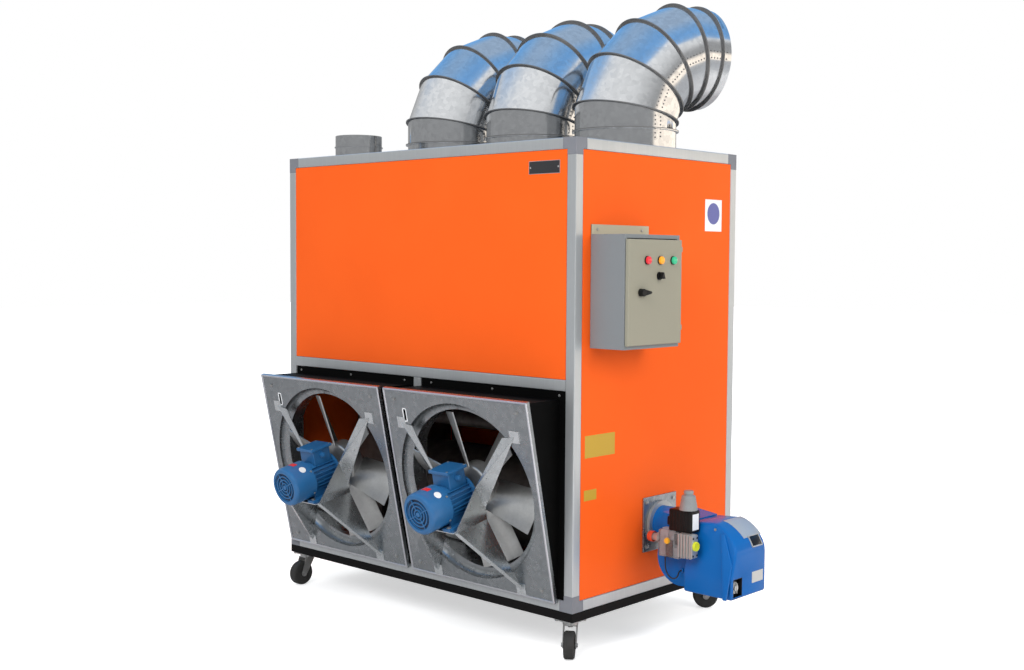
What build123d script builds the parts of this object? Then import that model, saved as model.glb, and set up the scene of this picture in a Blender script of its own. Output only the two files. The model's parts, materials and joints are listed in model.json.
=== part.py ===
from build123d import *
from itertools import product
from math import cos, radians, sin, tan
import os

# Hot air furnace on casters, in millimetres. X runs to the burner side, Y to the rear and Z up,
# with the floor at Z = 0 and the origin under the middle of the whole object.

# Cabinet
cabinet_width = 1600
cabinet_depth = 1000
cabinet_height = 1700
base_height = 32
base_member_width = 50
base_cross_count = 2
profile_size = 40
profile_wall = 2
profile_round = 3
corner_reach = 60
spigot_length = 25
spigot_gap = 0.2
mid_rail_height = 835.5
panel_sheet = 1.2
panel_depth = 20
panel_gap = 1
panel_inset = 1
hole_clearance = 1.5

# Casters
caster_height = 138
caster_inset = 48
caster_plate_size = 92
caster_plate_thickness = 5
caster_plate_corner = 14
caster_race_radius = 30
caster_race_height = 6
caster_bolt_radius = 4
caster_bolt_spacing = 70
king_pin_radius = 6
king_nut_radius = 10
king_nut_height = 7
crown_radius = 28
crown_height = 9
crown_gap = 0.5
fork_sheet = 3
fork_top_length = 46
fork_boss_radius = 13
wheel_radius = 50
wheel_width = 38
wheel_core_radius = 33
wheel_round = 7
wheel_trail = 32
hub_boss_radius = 12
axle_radius = 5
axle_head_radius = 8
axle_head_height = 5
side_gap = 1
running_gap = 0.05
# Each caster: its corner along X and Y, and the heading of its trail in degrees from +X.
casters = {
    "front_left": (0, 0, -90),
    "front_right": (1, 0, -55),
    "rear_left": (0, 1, -100),
    "rear_right": (1, 1, -137),
}

# Air ducts
duct_radius = 202
duct_sheet = 1
duct_setback = 326
duct_spacing = 488
duct_neck = 85
bend_rise = 91
bend_radius = 308
bend_gores = 4
seam_height = 10
seam_thickness = 5
collar_lip = 3
outlet_joint = 21
outlet_length = 63
spigot_flange = 18
spigot_flange_thickness = 2
# How far each elbow is turned from straight back towards the burner side, in degrees.
elbow_turns = {"left": 8.5, "middle": 1.7, "right": 16.4}

# Flue
flue_radius = 100
flue_sheet = 1
flue_height = 103
flue_bead_height = 55
flue_bead = 4
flue_bead_thickness = 4
flue_inset_x = 160
flue_inset_y = 250
flue_flange = 15
flue_flange_thickness = 2

# Axial fans
fan_tilt = 12.2
fan_left_x = 395
fan_right_x = 1163
fan_plate_width = 740
fan_plate_height = 745
fan_plate_sheet = 2
fan_fold = 12
fan_foot_out = 15
fan_foot_height = 59
mouth_radius = 338
throat_radius = 307
throat_depth = 95
fan_screw_side = 55
fan_screw_end = 42
mark_width = 12
mark_length = 42
mark_side = 105
mark_end = 100
cowl_sheet = 1.5
cowl_top_height = 784
cowl_side_gap = 2
cowl_flange_depth = 6

# Fan motors
shaft_radius = 9.5
shaft_in_hub = 50
rotor_radius = 40
rotor_gap = 1
rotor_start = 40
rotor_end = 130
motor_start = 15
motor_end = 152
motor_radius = 62
bell_radius = 76.5
bell_length = 10
bearing_length = 15
fin_radius = 72
fin_width = 2.5
fin_count = 8
fin_half_span = 44
foot_height = 80
foot_spacing = 125
foot_pitch = 100
foot_first = 65
foot_margin = 15
foot_width = 36
foot_web = 10
foot_thickness = 10
foot_bolt_radius = 4.5
box_width = 85
box_start = 28
box_length = 84
box_top = 108
lid_width = 98
lid_start = 18
lid_length = 104
lid_thickness = 12
cover_start = 144
cover_end = 247
cover_round = 16
cover_sheet = 1.5
grille_slots = 16
grille_inner = 24
grille_outer = 58
grille_slot_width = 5
cooling_radius = 64
cooling_start = 170
cooling_end = 215
cooling_blades = 6
cooling_hub_radius = 20
cooling_blade_width = 3

# Motor brackets, in a fan's own frame: across, up the slope and out from the plate
bracket_sheet = 3
web_across = 95
web_top = (44, 35)
web_back = (-48, 3)
web_low_back = (-92, 5)
web_low_front = (-86, 170)
upper_tip_inner = (232, 233)
upper_tip_outer = (290, 241)
lower_tip = (215, -345)
lower_flange = 18
bracket_tab = 44

# Impellers
impeller_radius = 300
impeller_front = 27
impeller_hub_radius = 95
impeller_hub_length = 70
impeller_hub_round = 12
blade_middle = 60
blade_count = 6
blade_first = -13
blade_root_chord = 125
blade_tip_chord = 165
blade_root_pitch = 44
blade_tip_pitch = 34
blade_thickness = 4
blade_camber = 10

# Combustion chamber and heat exchanger
burner_axis_y = 506
burner_axis_height = 288
chamber_radius = 195
chamber_sheet = 3
chamber_start = 260
chamber_end = 1480
chamber_foot_thickness = 6
chamber_foot_width = 240
smoke_sheet = 2
smoke_depth_y = 420
smoke_left_start = 100
smoke_left_low = 40
turning_box_top = 880
flue_box_low = 900
flue_box_top = 1250
smoke_right_start = 1380
smoke_right_low = 560
tube_radius = 34
tube_sheet = 2
tube_columns = 4
tube_rows = 3
tube_pitch = 95
lower_tubes_height = 710
upper_tubes_height = 1060

# Control enclosure
enclosure_start_y = 84
enclosure_width = 320
enclosure_low = 966
enclosure_height = 400
enclosure_depth = 150
enclosure_sheet = 1.5
enclosure_lip = 14
lug_height = 35
lug_thickness = 3
lug_screw_inset = 32
lug_screw_drop = 18
cable_hole_radius = 10.25
cable_hole_x = 75
door_width = 312
door_height = 370
door_low = 13
door_inset = 4
door_depth = 14
door_gap = 1
door_round = 4
gasket_width = 10
gasket_inset = 3
gasket_gap = 0.3
hinge_barrel_radius = 5
hinge_pin_radius = 2.5
hinge_out = 7
hinge_knuckle = 18
hinge_gap = 0.4
hinge_inset = 60
hinge_leaf = 2
lamp_spacing = 76
lamp_first_y = 108
lamp_height = 310
lamp_bezel_radius = 14.5
lamp_bezel_height = 6
lamp_lens_radius = 11
lamp_lens_height = 14
lamp_body_radius = 10.5
lamp_body_length = 40
selector_y = 179
selector_height = 255
selector_radius = 11
selector_bezel_radius = 14.5
selector_grip_width = 9
selector_grip_length = 27
selector_grip_height = 15
lock_y = 72
lock_height = 198
lock_radius = 9
lock_boss_radius = 14
lock_boss_height = 12
lock_lever_length = 47
lock_lever_width = 11
lock_lever_thickness = 7
lock_cam_length = 30
lock_cam_width = 14
lock_cam_thickness = 3
gear_plate_margin = 25
gear_plate_thickness = 2
gear_plate_out = 8
rail_height = 35
rail_depth = 7.5
contactor_count = 3
contactor_width = 45
contactor_pitch = 62
contactor_height = 80
contactor_depth = 62
terminal_width = 200
terminal_height = 42
terminal_depth = 40

# Burner
burner_plate_size = 206
burner_plate_thickness = 6
burner_bolt_spacing = 164
head_flange_radius = 82
head_flange_thickness = 12
head_radius = 64
head_reach = 90
blast_tube_radius = 60
blast_tube_wall = 2
blast_tube_length = 230
scroll_x = 170
scroll_height = 190
scroll_radius = 100
scroll_wall = 4
scroll_start_y = 405
scroll_end_y = 580
scroll_box_top = 352
scroll_box_fall = 16
scroll_box_low = 222
scroll_box_end = 212
wheel_housing_gap = 10
fan_wheel_wall = 3
fan_wheel_start_y = 425
fan_wheel_end_y = 560
fan_wheel_vanes = 30
fan_wheel_vane_depth = 16
fan_wheel_back = 4
fan_wheel_hub_radius = 14
burner_shaft_radius = 6
burner_motor_radius = 43
burner_motor_length = 92
burner_motor_round = 8
burner_shaft_length = 60
burner_cover_start = 214
burner_cover_end = 420
burner_cover_low = 86
burner_cover_front_y = 365
burner_cover_rear_y = 585
burner_cover_wall = 3
burner_cover_shoulder = 234
burner_cover_top = 340
burner_cover_top_end = 310
burner_cover_left_top = 333
burner_cover_bulge = (385, 302)
burner_slope_start = 165
burner_slope_in = 52
window_width = 93
window_height = 50
window_y = 531
window_spot = (406, 274)
window_tilt = 28.9
window_depth = 6
window_proud = 1
dial_box = (372, 428, 92, 160)
dial_box_depth = 20
dial_box_wall = 2
dial_radius = 22
dial_thickness = 8
valve_low = 216
valve_top = 302
valve_start = 215
valve_end = 278
valve_front_y = 325
valve_back_y = 362
coil_start = 157
coil_end = 256
coil_top = 382
coil_front_y = 350
coil_back_y = 405
regulator_x = 225
regulator_y = 376
regulator_steps = ((33, 18), (26, 26), (14, 26))
switch_start = 109
switch_end = 206
switch_low = 200
switch_front_y = 350
switch_knob_radius = 12
switch_knob_out = 8
inlet_radius = 14
inlet_height = 262
inlet_y = 378
inlet_end = 56
link_radius = 6
link_y = 356
valve_rib_depth = 5
valve_rib_count = 5
valve_rib_gap = 6
red_cap_radius = 20
red_cap_length = 24
red_cap_cover = 18
yellow_cap_radius = 17
yellow_cap_length = 9
lead_radius = 2.5
lead_gland_radius = 8
lead_gland_length = 6
lead_bend_share = 0.45
lead_end = (182, 150)
# The lead's route: across from the cabinet's side, back from its front and up from the base.
lead_route = (
    (126, 375, 200),
    (126, 375, 170),
    (132, 372, 144),
    (150, 371, 124),
    (171, 372, 121),
    (182, 377, 132),
    (182, 384, 150),
    (182, 399, 150),
)

# Plates and screws
name_plate = (146, 46)
name_plate_centre = (1454, 1601)
name_plate_thickness = 1.5
side_labels = ((cabinet_depth - 158, 1453, 115, 124), (147, 616, 170, 80), (94, 443, 70, 38))
label_thickness = 0.6
rating_plate = (531, 145, 74, 50)
screw_head_radius = 8
screw_head_height = 5
small_head_radius = 5
small_head_height = 3
flange_screw_inset = 30

# Working values
lean = radians(fan_tilt)
fan_reach = (
    fan_foot_out
    + fan_plate_height / 2 * sin(lean)
    + (cover_end - cover_round) * cos(lean)
    + (bell_radius + cover_sheet - cover_round) * sin(lean)
    + cover_round
)
duct_row = cabinet_depth - duct_setback
widest_turn = radians(max(elbow_turns.values()))
duct_reach = (
    duct_row
    + (bend_radius + outlet_length) * cos(widest_turn)
    + duct_radius * sin(widest_turn)
)
left = -(cabinet_width + burner_cover_end + label_thickness) / 2
right = left + cabinet_width
front = (fan_reach - duct_reach) / 2
rear = front + cabinet_depth
deck = caster_height
sill = deck + base_height
roof = deck + cabinet_height
middle_x = (left + right) / 2
middle_y = (front + rear) / 2
half_profile = profile_size / 2
hollow_size = profile_size - 2 * profile_wall
opening_low = sill + profile_size
mid_rail = deck + mid_rail_height
opening_top = mid_rail - half_profile
burner_y = front + burner_axis_y
burner_z = deck + burner_axis_height


def save_group(label, pieces):
    """Write one node that holds several separate solids."""
    node = Compound(children=[piece.part for piece in pieces])
    node.label = label
    export_step(node, f"parts/{label}.step")


def block(low, high):
    """A box between two opposite corners."""
    size = [b - a for a, b in zip(low, high)]
    centre = [(a + b) / 2 for a, b in zip(low, high)]
    with BuildPart() as box:
        with Locations(tuple(centre)):
            Box(*size)
    return box


def rod(origin, direction, radius, length):
    """A round bar from a point along a direction."""
    with BuildPart() as bar:
        with BuildSketch(Plane(origin=origin, z_dir=direction)):
            Circle(radius)
        extrude(amount=length)
    return bar


os.makedirs("parts", exist_ok=True)

# Base frame: rails all round, two cross members and a pad over each caster
ledge = base_member_width
base_members = [
    block((left, y, deck), (right, y + ledge, sill)) for y in (front, rear - ledge)
]
cross_step = cabinet_width / (base_cross_count + 1)
cross_starts = [left, right - ledge]
cross_starts += [left + cross_step * (i + 1) - ledge / 2 for i in range(base_cross_count)]
base_members += [
    block((x, front + ledge, deck), (x + ledge, rear - ledge, sill)) for x in cross_starts
]
save_group("base_frame", base_members)


def profile_bar(origin, direction, length):
    """One length of square hollow aluminium profile, centred on its axis."""
    with BuildPart() as bar:
        with BuildSketch(Plane(origin=origin, z_dir=direction)):
            RectangleRounded(profile_size, profile_size, profile_round)
            Rectangle(hollow_size, hollow_size, mode=Mode.SUBTRACT)
        extrude(amount=length)
    return bar


# Frame: posts and rails between the corner pieces, then the front's mid rail and mullion
post_xs = (left + half_profile, right - half_profile)
post_ys = (front + half_profile, rear - half_profile)
rail_zs = (sill + half_profile, roof - half_profile)
post_length = cabinet_height - base_height - 2 * corner_reach
bars = [
    profile_bar((x, y, sill + corner_reach), (0, 0, 1), post_length)
    for x, y in product(post_xs, post_ys)
]
bars += [
    profile_bar((left + corner_reach, y, z), (1, 0, 0), cabinet_width - 2 * corner_reach)
    for y, z in product(post_ys, rail_zs)
]
bars += [
    profile_bar((x, front + corner_reach, z), (0, 1, 0), cabinet_depth - 2 * corner_reach)
    for x, z in product(post_xs, rail_zs)
]
front_y = front + half_profile
rail_length = cabinet_width - 2 * profile_size
bars.append(profile_bar((left + profile_size, front_y, mid_rail), (1, 0, 0), rail_length))
bars.append(profile_bar((middle_x, front_y, opening_low), (0, 0, 1), opening_top - opening_low))
save_group("frame_profiles", bars)


def corner_piece(corner, inward):
    """Three-way corner: an arm along each edge and a spigot inside each profile."""
    with BuildPart() as piece:
        for axis in range(3):
            arm = [profile_size] * 3
            arm[axis] = corner_reach
            with Locations(tuple(c + s * a / 2 for c, s, a in zip(corner, inward, arm))):
                Box(*arm)
            plug = [hollow_size - 2 * spigot_gap] * 3
            plug[axis] = spigot_length
            reach = [half_profile] * 3
            reach[axis] = corner_reach + spigot_length / 2
            with Locations(tuple(c + s * r for c, s, r in zip(corner, inward, reach))):
                Box(*plug)
    return piece


corner_pieces = [
    corner_piece((x, y, z), (sx, sy, sz))
    for (x, sx), (y, sy), (z, sz) in product(
        ((left, 1), (right, -1)), ((front, 1), (rear, -1)), ((sill, 1), (roof, -1))
    )
]
save_group("corner_pieces", corner_pieces)


def tray(face, width, height, holes=()):
    """Sheet panel with its edges folded inwards; each hole is (x, y, radius) on the face."""
    with BuildPart() as panel:
        with BuildSketch(face):
            Rectangle(width, height)
        extrude(amount=-panel_depth)
        with BuildSketch(face.offset(-panel_sheet)):
            Rectangle(width - 2 * panel_sheet, height - 2 * panel_sheet)
        extrude(amount=-panel_depth, mode=Mode.SUBTRACT)
        for x, y, radius in holes:
            with BuildSketch(face):
                with Locations((x, y)):
                    Circle(radius)
            extrude(amount=-panel_depth, mode=Mode.SUBTRACT)
    return panel


panel_width = cabinet_width - 2 * (profile_size + panel_gap)
panel_run = cabinet_depth - 2 * (profile_size + panel_gap)
side_low = opening_low + panel_gap
panel_top = roof - profile_size - panel_gap
side_height = panel_top - side_low
side_middle = (panel_top + side_low) / 2
front_low = mid_rail + half_profile + panel_gap

front_plane = Plane(
    origin=(middle_x, front + panel_inset, (panel_top + front_low) / 2), x_dir=(1, 0, 0), z_dir=(0, -1, 0)
)
front_panel = tray(front_plane, panel_width, panel_top - front_low)
front_panel.part.label = "front_panel"
export_step(front_panel.part, "parts/front_panel.step")

right_plane = Plane(origin=(right - panel_inset, middle_y, side_middle), x_dir=(0, 1, 0), z_dir=(1, 0, 0))
burner_hole = (burner_y - middle_y, burner_z - side_middle, blast_tube_radius + hole_clearance)
right_panel = tray(right_plane, panel_run, side_height, (burner_hole,))
right_panel.part.label = "right_panel"
export_step(right_panel.part, "parts/right_panel.step")

left_plane = Plane(origin=(left + panel_inset, middle_y, side_middle), x_dir=(0, -1, 0), z_dir=(-1, 0, 0))
left_panel = tray(left_plane, panel_run, side_height)
left_panel.part.label = "left_panel"
export_step(left_panel.part, "parts/left_panel.step")

rear_plane = Plane(origin=(middle_x, rear - panel_inset, side_middle), x_dir=(-1, 0, 0), z_dir=(0, 1, 0))
rear_panel = tray(rear_plane, panel_width, side_height)
rear_panel.part.label = "rear_panel"
export_step(rear_panel.part, "parts/rear_panel.step")

duct_y = front + duct_row
duct_xs = {
    side: middle_x + step * duct_spacing for side, step in zip(elbow_turns, (-1, 0, 1))
}
flue_x = left + flue_inset_x
flue_y = front + flue_inset_y
roof_skin = roof - panel_inset
roof_holes = [(x - middle_x, duct_y - middle_y, duct_radius + hole_clearance) for x in duct_xs.values()]
roof_holes.append((flue_x - middle_x, flue_y - middle_y, flue_radius + hole_clearance))
roof_plane = Plane(origin=(middle_x, middle_y, roof_skin))
roof_panel = tray(roof_plane, panel_width, panel_run, roof_holes)
roof_panel.part.label = "roof_panel"
export_step(roof_panel.part, "parts/roof_panel.step")

floor_inset = profile_size + panel_gap
with BuildPart() as floor_panel:
    with BuildSketch(Plane(origin=(middle_x, middle_y, sill))):
        Rectangle(cabinet_width - 2 * floor_inset, cabinet_depth - 2 * floor_inset)
    extrude(amount=panel_sheet)
floor_panel.part.label = "floor_panel"
export_step(floor_panel.part, "parts/floor_panel.step")

# Casters
crown_top = caster_height - caster_plate_thickness - caster_race_height - crown_gap
crown_low = crown_top - crown_height
fork_top = crown_low - fork_sheet
leg_inner = wheel_width / 2 + 3 * side_gap
leg_outer = leg_inner + fork_sheet
caster_places = {
    name: (
        left + caster_inset + x * (cabinet_width - 2 * caster_inset),
        front + caster_inset + y * (cabinet_depth - 2 * caster_inset),
        radians(heading),
    )
    for name, (x, y, heading) in casters.items()
}
caster_plates = []
for name, (x, y, heading) in caster_places.items():
    along = Vector(cos(heading), sin(heading), 0)
    across = along.cross(Vector(0, 0, 1))
    axle_plane = Plane(origin=Vector(x, y, wheel_radius) + along * wheel_trail, x_dir=along, z_dir=across)
    crown_plane = Plane(origin=(x, y, crown_low), x_dir=along, z_dir=(0, 0, 1))
    plate_low = caster_height - caster_plate_thickness
    nut_top = fork_top - crown_gap

    with BuildPart() as caster_plate:
        with BuildSketch(Plane(origin=(x, y, plate_low))) as plate_outline:
            Rectangle(caster_plate_size, caster_plate_size)
            chamfer(plate_outline.vertices(), caster_plate_corner)
            with GridLocations(caster_bolt_spacing, caster_bolt_spacing, 2, 2):
                Circle(caster_bolt_radius, mode=Mode.SUBTRACT)
        extrude(amount=caster_plate_thickness)
        with BuildSketch(Plane(origin=(x, y, plate_low))):
            Circle(caster_race_radius)
        extrude(amount=-caster_race_height)
        with BuildSketch(Plane(origin=(x, y, plate_low))):
            Circle(king_pin_radius)
        extrude(amount=nut_top - king_nut_height - plate_low)
        with BuildSketch(Plane(origin=(x, y, nut_top))):
            RegularPolygon(king_nut_radius, 6)
        extrude(amount=-king_nut_height)
    caster_plates.append(caster_plate)

    with BuildPart() as fork:
        with BuildSketch(crown_plane):
            Circle(crown_radius)
        extrude(amount=crown_height)
        with BuildSketch(crown_plane):
            Rectangle(fork_top_length, 2 * leg_outer)
        extrude(amount=-fork_sheet)
        for side in (-1, 1):
            inner_face = axle_plane.offset(side * leg_inner)
            with BuildSketch(inner_face):
                Circle(fork_boss_radius)
                with Locations((-wheel_trail, crown_low - fork_sheet / 2 - wheel_radius)):
                    Rectangle(fork_top_length, fork_sheet)
                make_hull()
            extrude(amount=side * fork_sheet)
            with BuildSketch(inner_face):
                Circle(axle_radius)
            extrude(amount=side * fork_sheet, mode=Mode.SUBTRACT)
        with BuildSketch(crown_plane):
            Circle(king_pin_radius + running_gap)
        extrude(amount=crown_height + fork_sheet, both=True, mode=Mode.SUBTRACT)

    with BuildPart() as axle:
        with BuildSketch(axle_plane):
            Circle(axle_radius)
        extrude(amount=leg_outer, both=True)
        for side in (-1, 1):
            with BuildSketch(axle_plane.offset(side * leg_outer)):
                RegularPolygon(axle_head_radius, 6)
            extrude(amount=side * axle_head_height)
    save_group(f"caster_fork_{name}", [fork, axle])

    with BuildPart() as wheel_hub:
        with BuildSketch(axle_plane):
            Circle(wheel_core_radius)
        extrude(amount=wheel_width / 2 - side_gap, both=True)
        with BuildSketch(axle_plane):
            Circle(hub_boss_radius)
        extrude(amount=leg_inner - side_gap, both=True)
        with BuildSketch(axle_plane):
            Circle(axle_radius + running_gap)
        extrude(amount=leg_inner, both=True, mode=Mode.SUBTRACT)

    with BuildPart() as tyre:
        with BuildSketch(axle_plane):
            Circle(wheel_radius)
        extrude(amount=wheel_width / 2, both=True)
        rims = tyre.edges().filter_by(GeomType.CIRCLE)
        fillet(rims, wheel_round)
        with BuildSketch(axle_plane):
            Circle(wheel_core_radius)
        extrude(amount=wheel_width, both=True, mode=Mode.SUBTRACT)
    save_group(f"caster_wheel_{name}", [wheel_hub, tyre])
save_group("caster_plates", caster_plates)

# Duct spigots: flanged necks that rise through the roof to the elbows' first joint
joint_z = roof + duct_neck
bend_z = roof + bend_rise
lip_radius = duct_radius + seam_height
spigots = []
for x in duct_xs.values():
    with BuildPart() as spigot:
        with BuildSketch(Plane(origin=(x, duct_y, roof_skin - panel_depth))):
            Circle(duct_radius)
            Circle(duct_radius - duct_sheet, mode=Mode.SUBTRACT)
        extrude(amount=joint_z - roof_skin + panel_depth)
        with BuildSketch(Plane(origin=(x, duct_y, roof_skin))):
            Circle(duct_radius + spigot_flange)
            Circle(duct_radius - duct_sheet / 2, mode=Mode.SUBTRACT)
        extrude(amount=spigot_flange_thickness)
        with BuildSketch(Plane(origin=(x, duct_y, joint_z - collar_lip))):
            Circle(lip_radius)
            Circle(duct_radius - duct_sheet / 2, mode=Mode.SUBTRACT)
        extrude(amount=collar_lip)
    spigots.append(spigot)
save_group("duct_spigots", spigots)

# Segmented elbows: gores joined at mitre planes, each joint a raised seam
half_gore = 90 / bend_gores / 2
mitre_angles = [half_gore * (2 * i + 1) for i in range(bend_gores)]
mitre_stretch = 1 / cos(radians(half_gore))


def bend_frame(x, turn, angle, reach):
    """Plane across an elbow at an angle of its bend, its X away from the bend's axis."""
    aim = Vector(sin(radians(turn)), cos(radians(turn)), 0)
    up = Vector(0, 0, 1)
    bend_axis = Vector(x, duct_y, bend_z) + aim * bend_radius
    outward = up * sin(radians(angle)) - aim * cos(radians(angle))
    along = up * cos(radians(angle)) + aim * sin(radians(angle))
    return Plane(origin=bend_axis + outward * reach, x_dir=outward, z_dir=along)


def gore_tube(middle, outer, inner, low, high):
    """A straight piece of tube across a plane, cut between two joint planes."""
    with BuildPart() as tube:
        with BuildSketch(middle):
            Circle(outer)
            Circle(inner, mode=Mode.SUBTRACT)
        extrude(amount=bend_radius, both=True)
        split(bisect_by=low, keep=Keep.TOP)
        split(bisect_by=high, keep=Keep.BOTTOM)
    return tube


outlet_collars = []
for side, turn in elbow_turns.items():
    x = duct_xs[side]
    start = bend_frame(x, turn, 0, bend_radius).offset(joint_z - bend_z)
    end = bend_frame(x, turn, 90, bend_radius).offset(outlet_joint)
    mitres = [bend_frame(x, turn, angle, bend_radius * mitre_stretch) for angle in mitre_angles]
    inner_radius = duct_radius - duct_sheet
    joints = [start, *mitres, end]
    lips = [collar_lip] + [seam_thickness / 2] * bend_gores + [collar_lip]
    gores = []
    for i in range(bend_gores + 1):
        middle = bend_frame(x, turn, 2 * half_gore * i, bend_radius)
        low, high = joints[i], joints[i + 1]
        gore = gore_tube(middle, lip_radius, inner_radius, low, high)
        band = gore_tube(
            middle, lip_radius + collar_lip, duct_radius, low.offset(lips[i]), high.offset(-lips[i + 1])
        )
        with BuildPart() as joined_gore:
            add(gore.part)
            add(band.part, mode=Mode.SUBTRACT)
        gores.append(joined_gore)
    with BuildPart() as elbow:
        for gore in gores:
            add(gore.part)
    elbow.part.label = f"elbow_{side}"
    export_step(elbow.part, f"parts/elbow_{side}.step")

    with BuildPart() as collar:
        for radius, length in ((lip_radius, collar_lip), (duct_radius, outlet_length - outlet_joint)):
            with BuildSketch(end):
                Circle(radius)
                Circle(inner_radius, mode=Mode.SUBTRACT)
            extrude(amount=length)
    outlet_collars.append(collar)
save_group("outlet_collars", outlet_collars)

# Flue stub from the flue box through the roof
flue_start = deck + flue_box_top
with BuildPart() as flue_stub:
    with BuildSketch(Plane(origin=(flue_x, flue_y, flue_start))):
        Circle(flue_radius)
    extrude(amount=roof + flue_height - flue_start)
    with BuildSketch(Plane(origin=(flue_x, flue_y, roof_skin))):
        Circle(flue_radius + flue_flange)
    extrude(amount=flue_flange_thickness)
    with BuildSketch(Plane(origin=(flue_x, flue_y, roof + flue_bead_height))):
        Circle(flue_radius + flue_bead)
    extrude(amount=flue_bead_thickness / 2, both=True)
    with BuildSketch(Plane(origin=(flue_x, flue_y, flue_start))):
        Circle(flue_radius - flue_sheet)
    extrude(amount=roof + flue_height - flue_start, mode=Mode.SUBTRACT)
flue_stub.part.label = "flue_stub"
export_step(flue_stub.part, "parts/flue_stub.step")


# Fans: each is built on its plate's front face, with Z out along the shaft
def fan_plane(x):
    """Plane on a fan plate's front face, X across, Y up the slope and Z outwards."""
    half = fan_plate_height / 2
    foot = Vector(left + x, front - fan_foot_out, deck + fan_foot_height)
    return Plane(
        origin=foot + Vector(0, -half * sin(lean), half * cos(lean)),
        x_dir=(1, 0, 0),
        z_dir=(0, -cos(lean), -sin(lean)),
    )


def slope_y(height, depth):
    """Y of the plane that lies a depth behind the fan plates' front, at a height over the deck."""
    return front - fan_foot_out - (height - fan_foot_height) * tan(lean) + depth / cos(lean)


def section_plane(fan):
    """Plane through a fan's axis: X across and Y out along the shaft, for turned profiles."""
    return Plane(origin=fan.origin, x_dir=fan.x_dir, z_dir=-fan.y_dir)


def turned(fan, points):
    """A solid of revolution about a fan's axis from (radius, height) points."""
    with BuildPart() as solid:
        with BuildSketch(section_plane(fan)):
            Polygon(*points, align=None)
        revolve(axis=Axis(fan.origin, fan.z_dir))
    return solid


fans = {"left": fan_plane(fan_left_x), "right": fan_plane(fan_right_x)}
bays = {
    "left": (left + profile_size, middle_x - half_profile),
    "right": (middle_x + half_profile, right - profile_size),
}

fan_plates = []
for fan in fans.values():
    back = fan.offset(-fan_plate_sheet)
    axis = Axis(fan.origin, fan.z_dir)
    with BuildPart() as plate:
        with BuildSketch(back):
            Rectangle(fan_plate_width, fan_plate_height)
            Circle(mouth_radius, mode=Mode.SUBTRACT)
            with Locations((mark_side - fan_plate_width / 2, fan_plate_height / 2 - mark_end)):
                SlotOverall(mark_length, mark_width, rotation=90, mode=Mode.SUBTRACT)
        extrude(amount=fan_plate_sheet)
        edge = (fan_plate_sheet - fan_plate_height) / 2
        with BuildSketch(back):
            with Locations((0, -edge)):
                Rectangle(fan_plate_width, fan_plate_sheet)
            with GridLocations(fan_plate_width - fan_plate_sheet, 0, 2, 1):
                Rectangle(fan_plate_sheet, fan_plate_height)
        extrude(amount=-fan_fold)
        with BuildSketch(section_plane(fan)):
            with BuildLine():
                bend = mouth_radius - throat_radius
                turn_low = -(throat_depth - fan_plate_sheet)
                inner = throat_radius + fan_plate_sheet
                Line((mouth_radius, 0), (mouth_radius, -fan_plate_sheet))
                RadiusArc((mouth_radius, -fan_plate_sheet), (inner, -bend), bend - fan_plate_sheet)
                Line((inner, -bend), (inner, turn_low))
                Line((inner, turn_low), (throat_radius, turn_low))
                Line((throat_radius, turn_low), (throat_radius, -bend))
                RadiusArc((throat_radius, -bend), (mouth_radius, 0), -bend)
            make_face()
        revolve(axis=axis)
    fan_plates.append(plate)
save_group("fan_plates", fan_plates)

# Cowls: wedge ducts between the upright bays and the tilted plates, with a flange in each bay
fan_cowls = []
for side, fan in fans.items():
    bay_left, bay_right = bays[side]
    plate_right = fan.origin.X + fan_plate_width / 2
    cowl_left = bay_left + cowl_side_gap
    cowl_right = min(plate_right - fan_plate_sheet, bay_right) - cowl_side_gap
    flange_y = front + cowl_flange_depth
    foot_z = deck + fan_foot_height
    top_z = deck + cowl_top_height
    low_z = opening_low + cowl_side_gap
    with BuildPart() as cowl:
        with BuildSketch(Plane(origin=(cowl_left, 0, 0), x_dir=(0, 1, 0), z_dir=(1, 0, 0))):
            Polygon(
                (slope_y(fan_foot_height, fan_plate_sheet), foot_z),
                (slope_y(cowl_top_height, fan_plate_sheet), top_z),
                (flange_y, top_z),
                (flange_y, low_z),
                (front, low_z),
                (front, foot_z),
                align=None,
            )
        extrude(amount=cowl_right - cowl_left)
        with BuildSketch(Plane(origin=(middle_x, flange_y, 0), x_dir=(1, 0, 0), z_dir=(0, -1, 0))):
            with Locations(((bay_left + bay_right) / 2 - middle_x, (opening_low + opening_top) / 2)):
                Rectangle(bay_right - bay_left - 2 * panel_gap, opening_top - opening_low - 2 * panel_gap)
        extrude(amount=-cowl_sheet)
        cut_x = cowl_left + cowl_sheet
        with BuildSketch(Plane(origin=(cut_x, 0, 0), x_dir=(0, 1, 0), z_dir=(1, 0, 0))):
            Polygon(
                (slope_y(fan_foot_height, fan_plate_sheet) - fan_fold, foot_z + cowl_sheet),
                (slope_y(cowl_top_height, fan_plate_sheet) - fan_fold, top_z - cowl_sheet),
                (flange_y + fan_fold, top_z - cowl_sheet),
                (flange_y + fan_fold, low_z + cowl_sheet),
                (front - cowl_sheet, low_z + cowl_sheet),
                (front - cowl_sheet, foot_z + cowl_sheet),
                align=None,
            )
        extrude(amount=cowl_right - cowl_sheet - cut_x, mode=Mode.SUBTRACT)
    fan_cowls.append(cowl)
save_group("fan_cowls", fan_cowls)


def facet(fan, points):
    """Plane of a flat piece of bracket sheet, and its corners there, from points in a fan's frame."""
    spots = [fan.from_local_coords(Vector(*point)) for point in points]
    face = Plane(
        origin=spots[0],
        x_dir=spots[1] - spots[0],
        z_dir=(spots[1] - spots[0]).cross(spots[2] - spots[0]),
    )
    flat = [face.to_local_coords(spot) for spot in spots]
    return face, [(spot.X, spot.Y) for spot in flat]


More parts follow.
